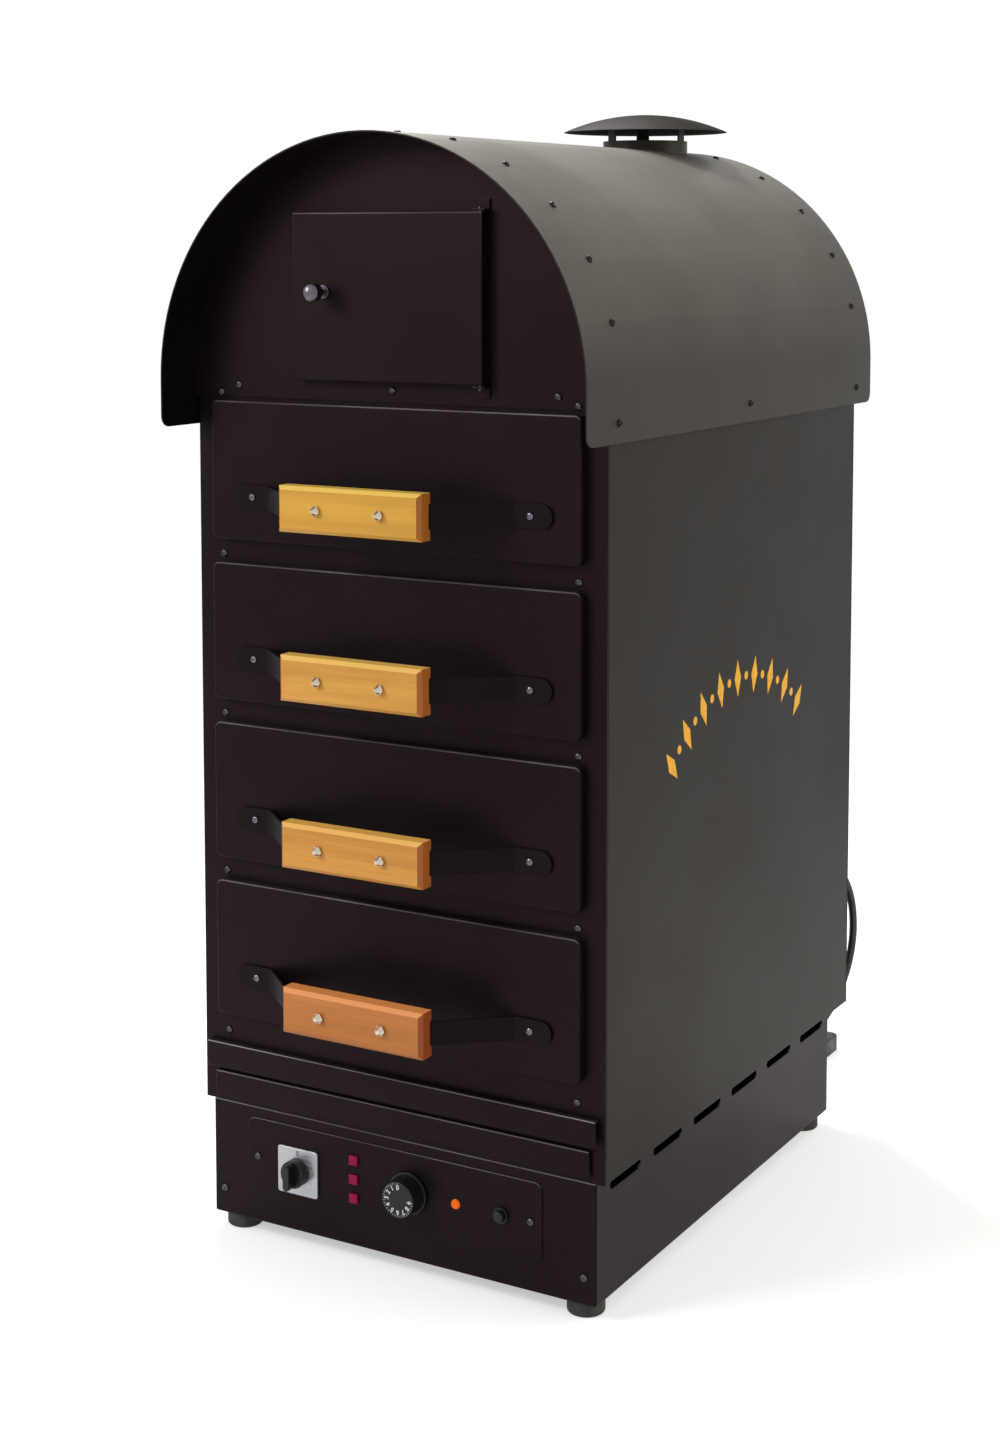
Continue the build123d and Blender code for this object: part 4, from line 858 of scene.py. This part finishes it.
spline.use_endpoint_u = True
lead = bpy.data.objects.new("lead", curve)
bpy.context.scene.collection.objects.link(lead)
fitted(lead, "cabinet", "cord_rubber", lead_rubber, "power_cord", "cord_coil")
gland = finished("gland", "cord_gland", "cabinet", "black_plastic", moulding, gland_edge)
plug = finished("plug", "mains_plug", "cabinet", "plug_rubber", lead_rubber, plug_edge)

# ---- Floor, light and camera ----
# A pale floor under plain soft light, seen from the photograph's place in front, to the right.
# Around the object the floor fades into the white of the background.
half_floor = 6.0
floor_glow = 0.50  # lifts the floor to white where only the soft outer shadow falls
fade_start, fade_end = 1.0, 3.0  # from the origin
floor_mesh = bpy.data.meshes.new("floor")
corners = [(across * half_floor, deep * half_floor, 0.0) for across, deep in (
    (-1, -1), (1, -1), (1, 1), (-1, 1),
)]
floor_mesh.from_pydata(corners, [], [(0, 1, 2, 3)])
floor = bpy.data.objects.new("floor", floor_mesh)
bpy.context.scene.collection.objects.link(floor)
pale = coating(
    "pale", (0.76, 0.76, 0.76), roughness=0.9, Specular_IOR_Level=0.0,
    Emission_Color=(1.0, 1.0, 1.0, 1.0),
)


def seen_directly(tree):
    """1 where the camera looks at this, itself or through metal and glass."""
    path = tree.nodes.new("ShaderNodeLightPath").outputs
    seen = calc(tree, "MAXIMUM", path["Is Camera Ray"], path["Is Transmission Ray"])
    return calc(tree, "MAXIMUM", seen, path["Is Glossy Ray"])


tree = pale.node_tree
wire(pale, "Emission Strength", product(tree, seen_directly(tree), floor_glow))
spot = add(tree, "ShaderNodeTexCoord", output="Object")
away = add(tree, "ShaderNodeVectorMath", {0: spot}, output="Value", operation="LENGTH")
wire(pale, "Alpha", spread(pale, away, low=1.0, high=0.0, start=fade_start, end=fade_end))
floor_mesh.materials.append(pale)

world = bpy.data.worlds.new("studio")
bpy.context.scene.world = world
world.use_nodes = True
tree = world.node_tree
background = tree.nodes["Background"]
background.inputs["Color"].default_value = (1.0, 1.0, 1.0, 1.0)
around = add(tree, "ShaderNodeTexCoord", output="Generated")
room = add(tree, "ShaderNodeMapRange", {  # the room is darker in front than behind
    "Value": add(tree, "ShaderNodeSeparateXYZ", {"Vector": around}, output="Y"),
    "From Min": -0.8, "From Max": 0.5, "To Min": 0.34, "To Max": 0.72,
})
seen = seen_directly(tree)
unseen = calc(tree, "SUBTRACT", 1.0, seen)
level = calc(tree, "ADD", product(tree, room, unseen), seen)
tree.links.new(level, background.inputs["Strength"])

for name, place, aim, size, power, colour in (
    ("key", (-1.7, -2.4, 2.3), (0.0, -0.3, 0.7), 1.2, 55.0, (1.0, 1.0, 1.0)),
    ("side", (2.9, 1.0, 1.7), (0.2, 0.0, 0.6), 2.0, 38.0, (1.0, 0.92, 0.81)),
    ("top", (-1.0, 1.1, 2.9), (0.0, 0.1, 1.0), 0.5, 50.0, (1.0, 0.98, 0.94)),
):
    light = bpy.data.lights.new(name, "AREA")
    light.size, light.energy, light.color = size, power, colour
    lamp = bpy.data.objects.new(name, light)
    lamp.location = place
    lamp.rotation_euler = (Vector(aim) - Vector(place)).to_track_quat("-Z", "Y").to_euler()
    bpy.context.scene.collection.objects.link(lamp)

photo_h = 1451
focal_px = 2310.3
optical_row = 440.0  # where the lens axis meets the photograph
looks_down, looks_left = math.radians(5.0), math.radians(30.02)
lens = bpy.data.cameras.new("camera")
lens.sensor_width = 36.0
lens.lens = focal_px / photo_h * lens.sensor_width
lens.shift_y = -(photo_h / 2 - optical_row) / photo_h
camera = bpy.data.objects.new("camera", lens)
camera.location = (1.2866, -2.3037, 1.1004)
camera.rotation_euler = (quarter - looks_down, 0.0, looks_left)
bpy.context.scene.collection.objects.link(camera)
bpy.context.scene.camera = camera
bpy.context.scene.view_settings.view_transform = "Standard"
